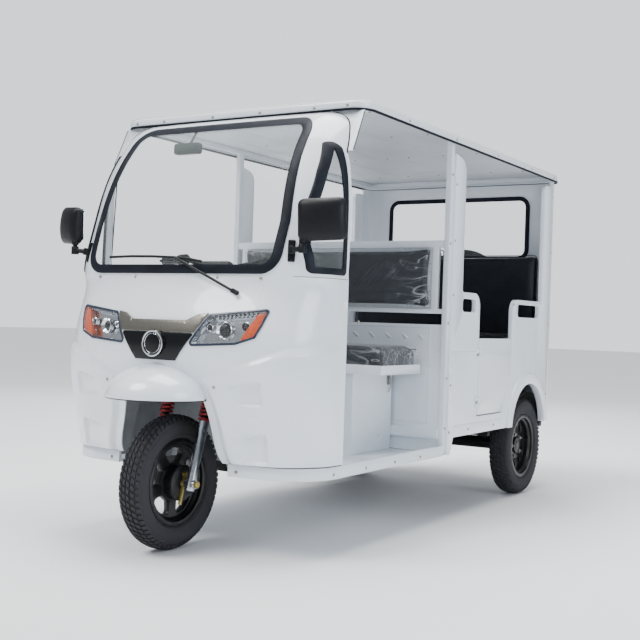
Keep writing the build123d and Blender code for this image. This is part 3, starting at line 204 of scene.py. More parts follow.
@dataclass(frozen=True)
class Finish:
    """One finish: what it is made of, its colours, gloss and relief.

    Attributes:
        name: material name.
        colour: main sRGB hex colour.
        shade: second sRGB hex colour, for mottling, dust or wear.
        mottle_mm: size of the patches where the second colour shows.
        mottle: how much of the second colour shows at most.
        roughness: base roughness.
        rough_spread: how far the roughness wanders across the surface.
        metallic: 1 for bare metal.
        ior: index of refraction of a dielectric.
        coat: clear coat weight.
        coat_rough: clear coat roughness.
        surface: how it was made.
        grain_mm: size of the relief's grain.
        relief_mm: height of the relief.
        alpha: opacity seen straight on; below 1 it closes towards grazing angles.
        rim_alpha: opacity at grazing angles.
        creases: how much a fold in a clear film whitens it, strongest towards the cushion's ends; the pale
            lines are partly painted highlight.
        specular: how strongly a dielectric's face reflects; 0.5 is the plain value for its index.
        glow: emission strength of the main colour.
    """

    name: str
    colour: str
    shade: str = "#FFFFFF"
    mottle_mm: float = 60.0
    mottle: float = 0.0
    roughness: float = 0.4
    rough_spread: float = 0.0
    metallic: float = 0.0
    ior: float = 1.5
    coat: float = 0.0
    coat_rough: float = 0.03
    surface: Surface = Surface.SMOOTH
    grain_mm: float = 1.0
    relief_mm: float = 0.0
    alpha: float = 1.0
    rim_alpha: float = 0.45
    creases: float = 0.0
    specular: float = 0.5
    glow: float = 0.0

    def relief(self, tree: NodeTree, place: Socket) -> Socket:
        """Height pattern of the surface.

        Args:
            tree: the material's node tree.
            place: coordinates in metres.

        Returns:
            A socket with the pattern's height from 0 to 1.
        """
        grain = self.grain_mm
        if self.surface is Surface.BRUSHED:
            drawn = add_node(tree, "ShaderNodeMapping", Vector=place, Scale=(1.0, 1.0, 0.04)).outputs[0]
            return clouds(tree, drawn, grain, Detail=3.0)
        per_metre = 1 / (grain * MM)
        if self.surface in (Surface.MOULDED_GRAIN, Surface.VINYL):
            feature = {"feature": "DISTANCE_TO_EDGE" if self.surface is Surface.VINYL else "SMOOTH_F1"}
            cells = add_node(tree, "ShaderNodeTexVoronoi", feature, Vector=place, Scale=per_metre)
            if self.surface is Surface.MOULDED_GRAIN:
                return cells.outputs["Distance"]
            soft = {"interpolation_type": "SMOOTHSTEP"}
            walls = add_node(tree, "ShaderNodeMapRange", soft, Value=cells.outputs["Distance"], From_Max=0.28)
            return walls.outputs[0]
        if self.surface is Surface.FILM:
            bent = add_node(tree, "ShaderNodeTexNoise", Vector=place, Scale=per_metre / 4, Detail=2.0)
            pushed = add_node(
                tree, "ShaderNodeMixRGB", {"blend_type": "ADD"},
                Fac=0.12, Color1=place, Color2=bent.outputs["Color"],
            )
            fold = add_node(
                tree, "ShaderNodeTexNoise", {"noise_type": "RIDGED_MULTIFRACTAL", "normalize": True},
                Vector=pushed.outputs[0], Scale=per_metre, Detail=4.0, Roughness=0.55, Distortion=0.6,
            )
            return fold.outputs[0]
        if self.surface is Surface.LENS_FLUTES:
            flutes = add_node(
                tree, "ShaderNodeTexWave", {"bands_direction": "X"},
                Vector=place, Scale=per_metre / 6.28, Distortion=0.0,
            )
            return flutes.outputs[1]
        coarse = self.surface in (Surface.CAST, Surface.ROAD_RUBBER)
        return clouds(tree, place, grain, Detail=5.0 if coarse else 2.0)

    def build(self) -> bpy.types.Material:
        """Make the material, once.

        Returns:
            The Blender material.
        """
        made = bpy.data.materials.get(self.name)
        if made:
            return made
        material = bpy.data.materials.new(self.name)
        material.use_nodes = True
        tree = material.node_tree
        shader = tree.nodes["Principled BSDF"]
        shader.inputs["Base Color"].default_value = linear(self.colour)
        shader.inputs["Roughness"].default_value = self.roughness
        shader.inputs["Metallic"].default_value = self.metallic
        if not self.metallic:
            shader.inputs["IOR"].default_value = self.ior
            shader.inputs["Specular IOR Level"].default_value = self.specular
        shader.inputs["Coat Weight"].default_value = self.coat
        shader.inputs["Coat Roughness"].default_value = self.coat_rough
        place = add_node(tree, "ShaderNodeTexCoord").outputs["Object"]
        if self.glow:
            shader.inputs["Emission Color"].default_value = linear(self.colour)
            shader.inputs["Emission Strength"].default_value = self.glow
        if self.mottle:
            cloud = clouds(tree, place, self.mottle_mm, Detail=6.0, Roughness=0.6)
            share = stretch(tree, cloud, From_Min=0.38, From_Max=0.78, To_Max=self.mottle)
            tint = add_node(
                tree, "ShaderNodeMix", {"data_type": "RGBA"}, index0=share,
                index6=linear(self.colour), index7=linear(self.shade),
            )
            tree.links.new(tint.outputs[2], shader.inputs["Base Color"])
        if self.rough_spread:
            smear = clouds(tree, place, self.mottle_mm * 0.6, Detail=4.0)
            gloss = stretch(
                tree, smear, From_Min=0.3, From_Max=0.7,
                To_Min=max(
                    0.02, self.roughness - self.rough_spread,
                ), To_Max=self.roughness + self.rough_spread,
            )
            tree.links.new(gloss, shader.inputs["Roughness"])
        if self.relief_mm:
            bump = add_node(
                tree, "ShaderNodeBump", Distance=self.relief_mm * MM, Height=self.relief(tree, place),
            )
            tree.links.new(bump.outputs[0], shader.inputs["Normal"])
        if self.alpha < 1:
            tree.links.new(self.cover(tree, place), shader.inputs["Alpha"])
        return material

    def cover(self, tree: NodeTree, place: Socket) -> Socket:
        """Opacity of a clear finish, which closes towards grazing angles and along its folds, where the pale
        lines are partly painted highlight.

        Args:
            tree: the material's node tree.
            place: coordinates in metres.

        Returns:
            A socket with the opacity.
        """
        edge = add_node(tree, "ShaderNodeLayerWeight", Blend=0.35).outputs["Facing"]
        cover = stretch(tree, edge, From_Min=0.3, To_Min=self.alpha, To_Max=self.rim_alpha)
        if not self.creases:
            return cover
        across = add_node(tree, "ShaderNodeSeparateXYZ", Vector=place).outputs[0]
        out = combine(tree, "ABSOLUTE", across)
        bunched = stretch(tree, out, From_Min=0.28, From_Max=0.47, To_Min=0.08, To_Max=1.0)
        drawn = add_node(
            tree, "ShaderNodeVectorMath", {"operation": "MULTIPLY"}, index0=place, index1=(0.38, 1.0, 1.0),
        ).outputs[0]
        folds = []
        for size_mm in (92.0, 40.0):
            away = combine(tree, "SUBTRACT", clouds(tree, drawn, size_mm, Detail=1.0, Distortion=0.35), 0.5)
            line = combine(tree, "ABSOLUTE", away)
            folds.append(stretch(tree, line, From_Max=0.02, To_Min=self.creases, To_Max=0.0))
        # Pale lines along the folds, bunched towards the ends: whitened creases, partly painted highlight for
        # the glints on them.
        white = combine(tree, "MULTIPLY", combine(tree, "MAXIMUM", *folds), bunched)
        return combine(tree, "ADD", cover, white, clamp=True)


# Mid grey standing in for the shade inside the white wheel box: painted shade, matt and coarse.
WELL_SHADE_GREY = Finish(
    "painted_shade_grey", "#8C9093", "#A6AAAD", mottle_mm=60, mottle=0.6, roughness=0.72, rough_spread=0.1,
    surface=Surface.CAST, grain_mm=9, relief_mm=0.5, specular=0.25,
)
# Two-pack acrylic enamel on pressed steel and moulded glass-fibre: deep white gloss, a little blue,
# with the faint ripple that spraying leaves.
CAB_WHITE = Finish(
    "two_pack_enamel_white", "#EDF2F8", "#DFE7F0", mottle_mm=420, mottle=0.5, roughness=0.24,
    rough_spread=0.05, coat=0.7, coat_rough=0.05, surface=Surface.SPRAYED, grain_mm=9, relief_mm=0.012,
)
# The same enamel on folded sheet inside, thinner and less flowed out.
INNER_WHITE = Finish(
    "sheet_enamel_white", "#E4EAF0", "#D3DBE3", mottle_mm=260, mottle=0.55, roughness=0.34, rough_spread=0.07,
    coat=0.35, coat_rough=0.12, surface=Surface.SPRAYED, grain_mm=6, relief_mm=0.02,
)
# Vacuum-formed ABS ceiling sheet: matt grey-white, lightly mottled.
CEILING_SHEET = Finish(
    "abs_ceiling_sheet", "#C9CED3", "#B4BBC2", mottle_mm=300, mottle=0.6, roughness=0.5, rough_spread=0.1,
    surface=Surface.MOULDED_GRAIN, grain_mm=3, relief_mm=0.05,
)
# Extruded EPDM rubber seal: soft navy-black with a dull bloom.
SEAL_RUBBER = Finish(
    "epdm_seal_rubber", "#0C111B", "#1B2230", mottle_mm=90, mottle=0.5, roughness=0.48, rough_spread=0.08,
    surface=Surface.MOULDED_GRAIN, grain_mm=1.6, relief_mm=0.03, specular=0.2,
)
# Toughened soda-lime glass: clear, with a trace of green.
SAFETY_GLASS = Finish(
    "toughened_glass", "#DCE8E6", roughness=0.02, ior=1.52, alpha=0.035, rim_alpha=0.4,
)
# Injection-moulded polypropylene: charcoal with a fine leather grain.
BLACK_PP = Finish(
    "moulded_polypropylene", "#0B0D11", "#15181E", mottle_mm=40, mottle=0.4, roughness=0.46,
    rough_spread=0.06, surface=Surface.MOULDED_GRAIN, grain_mm=1.4, relief_mm=0.06, specular=0.25,
)
# Moulded ABS, black: satin gloss with a soft reflection.
PIANO_ABS = Finish(
    "gloss_abs_black", "#07090D", "#0C1018", mottle_mm=60, mottle=0.3, roughness=0.3, rough_spread=0.03,
    coat=0.15, coat_rough=0.06, specular=0.25, surface=Surface.SPRAYED, grain_mm=5, relief_mm=0.004,
)
# Champagne silver paint over ABS, satin: fine metallic flake.
CHAMPAGNE_TRIM = Finish(
    "champagne_metallic_paint", "#6F6C64", "#8E8A80", mottle_mm=0.9, mottle=0.5, roughness=0.3,
    rough_spread=0.05, metallic=0.75, coat=0.5, coat_rough=0.06, surface=Surface.BRUSHED, grain_mm=1.2,
    relief_mm=0.01,
)
# Decorative chrome plate: near-mirror with the least haze.
CHROME = Finish(
    "chrome_plate", "#D9DCE0", "#BFC4CA", mottle_mm=30, mottle=0.3, roughness=0.09, rough_spread=0.03,
    metallic=1.0, surface=Surface.SPRAYED, grain_mm=14, relief_mm=0.01,
)
# Vacuum-metallised lamp bowl: bright, softly rippled aluminium film.
LAMP_MIRROR = Finish(
    "metallised_bowl", "#D2D6DA", "#AEB4BB", mottle_mm=14, mottle=0.5, roughness=0.16, rough_spread=0.05,
    metallic=1.0, surface=Surface.SPRAYED, grain_mm=10, relief_mm=0.25,
)
# Lamp bezel: painted dark blue-black ABS.
BEZEL_ABS = Finish(
    "bezel_abs", "#232A3B", "#323B50", mottle_mm=50, mottle=0.4, roughness=0.3, rough_spread=0.05, coat=0.4,
    surface=Surface.SPRAYED, grain_mm=4, relief_mm=0.01,
)
# Clear polycarbonate lens, hard-coated: all but unseen straight on.
CLEAR_LENS = Finish("clear_polycarbonate", "#F2F5F8", roughness=0.03, ior=1.58, alpha=0.02, rim_alpha=0.2)
# Amber polycarbonate with moulded flutes: deep orange.
AMBER_LENS = Finish(
    "amber_polycarbonate", "#B63C02", "#DB6410", mottle_mm=12, mottle=0.6, roughness=0.3, rough_spread=0.04,
    ior=1.58, specular=0.25, coat=0.1, surface=Surface.LENS_FLUTES, grain_mm=5, relief_mm=0.5, glow=0.05,
)
# Red polycarbonate with moulded flutes: dark when unlit.
RED_LENS = Finish(
    "red_polycarbonate", "#8E0D0A", "#B5201A", mottle_mm=12, mottle=0.6, roughness=0.24, rough_spread=0.04,
    ior=1.58, specular=0.35, coat=0.2, surface=Surface.LENS_FLUTES, grain_mm=5, relief_mm=0.5,
)
# Silvered mirror glass: sharp reflection.
MIRROR_GLASS = Finish(
    "silvered_mirror", "#C9D0D6", "#B5BDC6", mottle_mm=50, mottle=0.2, roughness=0.03, metallic=1.0,
)
# PVC leathercloth over foam: near-black, soft sheen, leather embossing drawn a little coarse.
SEAT_VINYL = Finish(
    "pvc_leathercloth", "#0A0E15", "#151B25", mottle_mm=70, mottle=0.6, roughness=0.42, rough_spread=0.07,
    surface=Surface.VINYL, grain_mm=3.2, relief_mm=0.16, specular=0.3,
)
# Low-density polyethylene wrap left on the cushions: clear, glossy and creased, with pale fold lines that are
# partly painted highlight.
WRAP_FILM = Finish(
    "polyethylene_wrap", "#E9EEF4", roughness=0.16, alpha=0.05, rim_alpha=0.3, creases=0.36,
    surface=Surface.FILM, grain_mm=42, relief_mm=4.0,
)
# Carbon-black tyre rubber: moulded, dull, with a trace of dust.
TYRE_RUBBER = Finish(
    "tyre_rubber", "#07080A", "#121317", mottle_mm=35, mottle=0.55, roughness=0.58, rough_spread=0.1,
    surface=Surface.ROAD_RUBBER, grain_mm=4, relief_mm=0.12, specular=0.18,
)
# Stove enamel on wheel steel and cast spokes: satin black.
WHEEL_ENAMEL = Finish(
    "stove_enamel_black", "#0A0B0D", "#17191D", mottle_mm=45, mottle=0.5, roughness=0.36, rough_spread=0.08,
    coat=0.25, coat_rough=0.2, surface=Surface.CAST, grain_mm=5, relief_mm=0.08, specular=0.25,
)
# Dip-painted chassis steel: dull black with patches of dust.
CHASSIS_BLACK = Finish(
    "dip_painted_steel", "#111215", "#2B2C2E", mottle_mm=80, mottle=0.6, roughness=0.52, rough_spread=0.12,
    surface=Surface.CAST, grain_mm=8, relief_mm=0.15, specular=0.2,
)
# Clear-anodised cast aluminium fork slider: smooth, silver-grey.
FORK_ALLOY = Finish(
    "anodised_aluminium", "#C6CBD1", "#A3AAB1", mottle_mm=60, mottle=0.4, roughness=0.24, rough_spread=0.05,
    metallic=1.0, surface=Surface.SPRAYED, grain_mm=6, relief_mm=0.01,
)
# Sand-cast aluminium, as it left the mould: grainy grey.
MOTOR_CASTING = Finish(
    "sand_cast_aluminium", "#8D9195", "#6D7175", mottle_mm=40, mottle=0.5, roughness=0.5, rough_spread=0.1,
    metallic=1.0, surface=Surface.CAST, grain_mm=2.5, relief_mm=0.25,
)
# Powder-coated spring steel: clean red with a slight texture.
SPRING_RED = Finish(
    "powder_coat_red", "#9E1B22", "#7A1218", mottle_mm=20, mottle=0.4, roughness=0.32, rough_spread=0.05,
    coat=0.3, surface=Surface.SPRAYED, grain_mm=2, relief_mm=0.03,
)
# Yellow-passivated zinc on small steel parts: straw gold, blotched.
GOLD_ZINC = Finish(
    "yellow_zinc_plate", "#A38E4C", "#B9A878", mottle_mm=14, mottle=0.7, roughness=0.36, rough_spread=0.08,
    metallic=1.0, surface=Surface.CAST, grain_mm=3, relief_mm=0.05,
)
# Bright zinc on bolts, a little tarnished.
BRIGHT_ZINC = Finish(
    "bright_zinc_plate", "#A9A6A0", "#7C7568", mottle_mm=6, mottle=0.6, roughness=0.34, rough_spread=0.08,
    metallic=1.0, surface=Surface.CAST, grain_mm=1, relief_mm=0.02,
)
# PVC floor mat with a coarse moulded grain: dull grey-blue.
FLOOR_MAT = Finish(
    "pvc_floor_mat", "#3A4048", "#4C535C", mottle_mm=120, mottle=0.5, roughness=0.6, rough_spread=0.1,
    surface=Surface.MOULDED_GRAIN, grain_mm=5, relief_mm=0.4,
)
# Moulded polypropylene battery case: dark grey, fine grain.
CASE_PP = Finish(
    "battery_case_pp", "#23262A", "#33373C", mottle_mm=80, mottle=0.4, roughness=0.5, rough_spread=0.05,
    surface=Surface.MOULDED_GRAIN, grain_mm=2, relief_mm=0.08,
)
# Matt white backdrop paper: very pale, without gloss.
BACKDROP_PAPER = Finish("matt_backdrop_paper", "#F4F5F6", "#EEF0F2", mottle_mm=900, mottle=0.3, roughness=0.8)
# ---- Mesh helpers ----


def smooth_by_angle(mesh: bpy.types.Mesh, degrees: float = 32.0) -> None:
    """Shade a mesh smooth, with edges sharper than an angle kept crisp."""
    mesh.shade_smooth()
    mesh.set_sharp_from_angle(angle=math.radians(degrees))


def make_piece(
    name: str, form: Form, finish: Finish, sharp: float = 32.0, body: str = "body",
) -> Object:
    """Make one shown piece that rides on a body.

    Args:
        name: piece name.
        form: points in metres in the row's frame, and index lists.
        finish: what it is finished in.
        sharp: edges turning more than this many degrees stay crisp.
        body: the CAD body it moves with.

    Returns:
        The new object.
    """
    vertices, faces = form
    mesh = bpy.data.meshes.new(name)
    mesh.from_pydata([tuple(v) for v in vertices], [], [tuple(f) for f in faces])
    mesh.validate()
    bm = bmesh.new()
    bm.from_mesh(mesh)
    bmesh.ops.recalc_face_normals(bm, faces=bm.faces)
    bm.to_mesh(mesh)
    bm.free()
    smooth_by_angle(mesh, sharp)
    piece = bpy.data.objects.new(name, mesh)
    bpy.context.scene.collection.objects.link(piece)
    mesh.materials.append(finish.build())
    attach(piece, body)
    log.info("made %s: %d faces", name, len(mesh.polygons))
    return piece


def apply_modifiers(piece: Object) -> None:
    """Put what a piece's modifiers make of it in place of its mesh, and take them off.

    Args:
        piece: the piece to change.
    """
    graph = bpy.context.evaluated_depsgraph_get()
    shaped = bpy.data.meshes.new_from_object(piece.evaluated_get(graph))
    piece.modifiers.clear()
    before, piece.data = piece.data, shaped
    bpy.data.meshes.remove(before)


class MeshPatch:
    """Vertices and faces gathered from several simple forms, joined into one mesh."""

    def __init__(self) -> None:
        """Start empty."""
        self.vertices: list[Vector] = []
        self.faces: Faces = []

    @property
    def form(self) -> Form:
        """All that was gathered, as one form."""
        return self.vertices, self.faces

    def add(self, form: Form, matrix: Matrix | None = None) -> None:
        """Append a form, moved by a matrix if one is given.

        Args:
            form: vertices and faces.
            matrix: where to move them; left where they are without one.
        """
        vertices, faces = form
        start = len(self.vertices)
        self.vertices.extend(Vector(v) if matrix is None else matrix @ Vector(v) for v in vertices)
        self.faces.extend(tuple(start + i for i in f) for f in faces)


def lathe(profile: Sequence[Pair], steps: int = 48) -> Form:
    """Turn a closed profile about X.

    Args:
        profile: (x, radius) in millimetres round a closed outline; a radius of 0 makes a pole.
        steps: segments round the axis.

    Returns:
        Vertices in metres, and faces.
    """
    vertices: list[Point] = []
    faces: Faces = []
    count = len(profile)
    for step in range(steps):
        angle = 2 * math.pi * step / steps
        for x, radius in profile:
            vertices.append((x * MM, radius * MM * math.cos(angle), radius * MM * math.sin(angle)))
    for step in range(steps):
        here, there = step * count, ((step + 1) % steps) * count
        for i in range(count):
            j = (i + 1) % count
            if profile[i][1] or profile[j][1]:
                faces.append((here + i, here + j, there + j, there + i))
    return vertices, faces


def tube(path: Sequence[Vector], radius: float, steps: int = 10) -> Form:
    """Round tube along a path, closed at both ends.

    Args:
        path: points along its middle, in metres.
        radius: tube radius in metres.
        steps: segments round it.

    Returns:
        Vertices in metres, and faces.
    """
    vertices: list[Vector] = []
    faces: Faces = []
    side = Vector((0, 0, 1))
    for index, here in enumerate(path):
        ahead = path[min(index + 1, len(path) - 1)] - path[max(index - 1, 0)]
        ahead.normalize()
        side = side - ahead * side.dot(ahead)
        if side.length < 1e-5:
            side = Vector((1, 0, 0)) - ahead * ahead.x
        side.normalize()
        over = ahead.cross(side)
        for step in range(steps):
            angle = 2 * math.pi * step / steps
            vertices.append(here + side * (radius * math.cos(angle)) + over * (radius * math.sin(angle)))
    for index in range(len(path) - 1):
        for step in range(steps):
            a, b = index * steps + step, index * steps + (step + 1) % steps
            faces.append((a, b, b + steps, a + steps))
    faces.append(tuple(reversed(range(steps))))
    faces.append(tuple((len(path) - 1) * steps + s for s in range(steps)))
    return vertices, faces


def aligned(place: Sequence[float], outward: Sequence[float]) -> Matrix:
    """Matrix that puts a form's X axis along a direction at a place."""
    turn = Vector((1, 0, 0)).rotation_difference(Vector(outward).normalized()).to_matrix().to_4x4()
    return Matrix.Translation(Vector(place)) @ turn


def rounded_box(
    low: Sequence[float], high: Sequence[float], corner: float, cells: tuple[int, int, int],
) -> Form:
    """A closed box grid with rounded edges.

    Args:
        low: lowest corner in metres.
        high: highest corner in metres.
        corner: edge radius in metres.
        cells: grid cells along X, Y and Z.

    Returns:
        Vertices in metres, and faces.
    """
    centre = (Vector(low) + Vector(high)) / 2
    half = (Vector(high) - Vector(low)) / 2
    index: dict[tuple[int, int, int], int] = {}
    vertices: list[Vector] = []
    faces: Faces = []

    def spread(step: int, count: int, reach: float) -> float:
        """Place of one of the evenly spaced grid lines."""
        return reach * (2 * step / count - 1)

    def corner_at(i: int, j: int, k: int) -> int:
        """Vertex of a surface grid point, made on first use.

        Args:
            i: grid step along X.
            j: grid step along Y.
            k: grid step along Z.

        Returns:
            The vertex's index.
        """
        key = (i, j, k)
        if key not in index:
            point = Vector(
                (spread(i, cells[0], half.x), spread(j, cells[1], half.y), spread(k, cells[2], half.z))
            )
            inner = Vector([max(-half[a] + corner, min(half[a] - corner, point[a])) for a in range(3)])
            out = point - inner
            if out.length > 1e-9:
                largest = max(abs(out.x), abs(out.y), abs(out.z))
                point = inner + out.normalized() * (corner * min(1.0, largest / corner))
            index[key] = len(vertices)
            vertices.append(centre + point)
        return index[key]

    for axis in range(3):
        u, v = (axis + 1) % 3, (axis + 2) % 3
        for side in (0, cells[axis]):
            for a in range(cells[u]):
                for b in range(cells[v]):
                    quad = []
                    for da, db in ((0, 0), (1, 0), (1, 1), (0, 1)):
                        key = [0, 0, 0]
                        key[axis], key[u], key[v] = side, a + da, b + db
                        quad.append(corner_at(*key))
                    faces.append(tuple(quad))
    return vertices, faces


# ---- Carried-over CAD nodes ----


def by_node(rows: dict) -> dict:
    """Turn a table of shared values round.

    Args:
        rows: names of nodes in one string, by the value they share.

    Returns:
        The value by node name.
    """
    return {name: value for value, names in rows.items() for name in names.split()}


@dataclass
class CadDress:
    """Finishes and edge softening for the CAD nodes that stay in view.

    Attributes:
        finishes: finish by node name.
        edges_mm: how far sharp edges are rounded, by node name.
        regions: second finish of part of a node, with a test of a face's middle in millimetres.
    """

    finishes: dict[str, Finish] = field(default_factory=lambda: by_node({
        CAB_WHITE: "front_cowl windscreen_frame wheel_hood roof_shell rear_panel door_left door_right"
        " side_panel_left side_panel_right",
        INNER_WHITE: "front_floor partition_panel seat_pedestal cabin_frame partition_rails bench_bases",
        SAFETY_GLASS: "window_glass",
        SEAL_RUBBER: "window_gaskets roof_edge_trim",
        CEILING_SHEET: "roof_liner",
        FLOOR_MAT: "rear_floor",
        BLACK_PP: "wheel_liners side_mirrors interior_mirror wiper rear_bumper handlebar instrument_pod",
        PIANO_ABS: "nose_panel",
        CHAMPAGNE_TRIM: "nose_trim",
        LAMP_MIRROR: "headlamp_housings",
        CLEAR_LENS: "headlamp_lenses",
        AMBER_LENS: "turn_signals",
        RED_LENS: "tail_lamps",
        MIRROR_GLASS: "mirror_glasses",
        CHASSIS_BLACK: "chassis_frame leaf_springs rear_axle steering_fork spare_carrier",
        MOTOR_CASTING: "drive_motor",
        CASE_PP: "battery_pack",
        FORK_ALLOY: "fork_sliders",
        SPRING_RED: "fork_springs",
        GOLD_ZINC: "front_axle",
        WHEEL_ENAMEL: "front_rim rear_rim_left rear_rim_right spare_rim",
        TYRE_RUBBER: "front_tyre rear_tyre_left rear_tyre_right spare_tyre",
        SEAT_VINYL: "driver_seat partition_backrests bench_cushions rear_backrest",
    }))
    edges_mm: dict[str, float] = field(default_factory=lambda: by_node({
        3.0: "side_panel_left side_panel_right door_left door_right battery_pack",
        2.5: "rear_panel",
        2.0: "front_floor partition_rails chassis_frame front_rim rear_bumper",
        1.8: "window_gaskets",
        1.5: "partition_panel cabin_frame bench_bases wheel_hood nose_trim spare_carrier steering_fork"
        " drive_motor",
        1.2: "nose_panel",
        1.0: "seat_pedestal tail_lamps headlamp_housings rear_rim_left rear_rim_right spare_rim fork_sliders",
        0.8: "front_axle turn_signals",
    }))
    regions: dict[str, tuple[Finish, Callable[[Vector], bool]]] = field(default_factory=lambda: {
        # The housing's rim, near the skin.
        "headlamp_housings": (BEZEL_ABS, lambda p: p.y < FACE.on_front(p.x, p.z)[0].y / MM + 2.5),
        # The inside of the wheel box, in the mid grey of painted shade.
        "front_floor": (WELL_SHADE_GREY, lambda p: abs(p.x) < 260.5 and p.y < -881.5 and 305 < p.z < 678.5),
        # The brake plate, round the axle itself.
        "front_axle": (WHEEL_ENAMEL, lambda p: 50 < p.x < 58.4 and math.hypot(p.y + 1200, p.z - 253.5) > 8),
    })

    def dress(self, nodes: dict[str, Object]) -> None:
        """Give every node its finish, smooth shading and softened edges.

        Args:
            nodes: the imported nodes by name.
        """
        for name, node in nodes.items():
            finish = self.finishes[name].build()
            smooth_by_angle(node.data)
            if not node.material_slots:
                node.data.materials.append(finish)
            for holder in node.material_slots:
                holder.material = finish
            if name in self.regions:
                other, inside = self.regions[name]
                node.data.materials.append(other.build())
                last = len(node.data.materials) - 1
                for face in node.data.polygons:
                    if inside(face.center / MM):
                        face.material_index = last
            width = self.edges_mm.get(name)
            if width:
                weld = node.modifiers.new("weld", "WELD")
                weld.merge_threshold = 1e-5
                edge = node.modifiers.new("edge_radius", "BEVEL")
                edge.width = width * MM
                edge.segments = 2
                edge.limit_method = "ANGLE"
                edge.angle_limit = math.radians(38)
                edge.use_clamp_overlap = True
                edge.harden_normals = True
            log.info("finished %s in %s", name, finish.name)


# ---- Tyres ----


@dataclass
class TreadRow:
    """One ring of tread blocks.

    Attributes:
        middle_mm: distance of the row's middle across the tyre from its centre line.
        width_mm: block width across the tyre.
        length_mm: block length round the tyre.
        slant_mm: how far a block's outer end is ahead of its inner end.
        offset: stagger, as a share of the pitch.
    """

    middle_mm: float
    width_mm: float
    length_mm: float
    slant_mm: float
    offset: float


@dataclass
class Tyre:
    """A tyre with a moulded carcass and separate tread blocks.

    Attributes:
        node: the CAD tyre it stands for.
        body: the body it rides on.
        centre: wheel centre in metres.
        outward: direction out of the wheel's face.
        width_mm: section width.
        pitches: blocks round the tyre.
        rows: rings of blocks on one half, mirrored to the other.
        depth_mm: tread depth.
        steps: segments of the carcass round the tyre.
    """

    node: str
    body: str
    centre: Point
    outward: Point
    width_mm: float
    pitches: int = 62
    rows: tuple[TreadRow, ...] = (
        TreadRow(8.5, 14.0, 17.5, 5.0, 0.0), TreadRow(
            25.5, 14.0, 17.0, 6.0, 0.5,
        ), TreadRow(42.5, 15.0, 15.5, 3.0, 0.0),
    )
    depth_mm: float = 6.6
    steps: int = 124

    def half_section(self) -> list[Pair]:
        """Carcass outline from the crown to the bead, as (x, radius) in millimetres.

        Returns:
            Points from the crown to the bead.
        """
        half = self.width_mm / 2
        crown = WHEEL_RADIUS / MM - self.depth_mm - 0.25
        return [
            (0.0, crown), (0.34 * half, crown - 1.2), (0.62 * half, crown - 5.2), (0.80 * half, crown - 11.5),
            (
                half - 4.2, crown - 20,
            ), (half - 2.0, crown - 27), (half - 2.6, crown - 29), (half - 0.8, crown - 31),
            (
                half - 0.4, crown - 44,
            ), (half - 1.2, crown - 56), (half - 3.4, crown - 66), (half - 2.6, crown - 68),
            (half - 4.0, crown - 70.5), (half - 7.5, crown - 76), (
                0.72 * half - 0.4, crown - 80,
            ), (0.72 * half - 0.4, 152.2),
        ]

    def across(self, distance: float) -> Quad:
        """Carcass point and outward normal at a distance from the centre line.

        Args:
            distance: arc length across the tyre in millimetres.

        Returns:
            x, radius, and the normal's x and radius parts.
        """
        section = self.half_section()
        run = 0.0
        for (x0, r0), (x1, r1) in zip(section, section[1:]):
            step = math.hypot(x1 - x0, r1 - r0)
            if run + step >= distance or (x1, r1) == section[-1]:
                share = (distance - run) / step
                return x0 + (x1 - x0) * share, r0 + (r1 - r0) * share, -(r1 - r0) / step, (x1 - x0) / step
            run += step
        return (*section[-1], 1.0, 0.0)

    def carcass(self) -> Form:
        """The smooth body of the tyre, turned about X, in metres."""
        half = self.half_section()
        return lathe([*half, *((-x, r) for x, r in reversed(half[1:]))], self.steps)

    def block(self, row: TreadRow, side: int, step: int) -> Form:
        """One tread block about X.

        Args:
            row: the ring it belongs to.
            side: half of the tyre it is on, -1 or 1.
            step: its number round the tyre.

        Returns:
            Vertices in metres, and faces.
        """
        cells, pitch = 3, 2 * math.pi / self.pitches
        vertices: list[Point] = []
        for taper, height in ((0.0, -1.0), (0.9, self.depth_mm)):
            for line in range(cells + 1):
                share = line / cells
                wide = row.width_mm / 2 - taper
                x, r, nx, nr = self.across(row.middle_mm + wide * (2 * share - 1))
                x, r = x + nx * height, r + nr * height
                r = min(r, WHEEL_RADIUS / MM - 0.2)
                for end in (-1, 1):
                    ahead = end * (row.length_mm / 2 - taper) + row.slant_mm * (share - 0.5) * 2 * side
                    angle = (step + row.offset + (0.25 if side > 0 else 0.0)) * pitch + ahead / 250.0
                    vertices.append((side * x * MM, r * MM * math.cos(angle), r * MM * math.sin(angle)))
        top = 2 * (cells + 1)
        faces: Faces = []
        for line in range(cells):
            a, b = top + 2 * line, 2 * line
            faces.append((a, a + 1, a + 3, a + 2))
            faces += [(c, c + 2, c + 2 + top, c + top) for c in (b, b + 1)]
        faces += [(b, b + 1, b + 1 + top, b + top) for b in (0, 2 * cells)]
        return vertices, faces

    def build(self) -> None:
        """Make the tyre in place of its CAD solid."""
        patch = MeshPatch()
        place = aligned(self.centre, self.outward)
        patch.add(self.carcass(), place)
        for side in (-1, 1):
            for row in self.rows:
                for step in range(self.pitches):
                    patch.add(self.block(row, side, step), place)
        tyre = make_piece(f"{self.node}_treaded", patch.form, TYRE_RUBBER, 35, self.body)
        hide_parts(self.node)


# ---- Cushions and their wrap ----


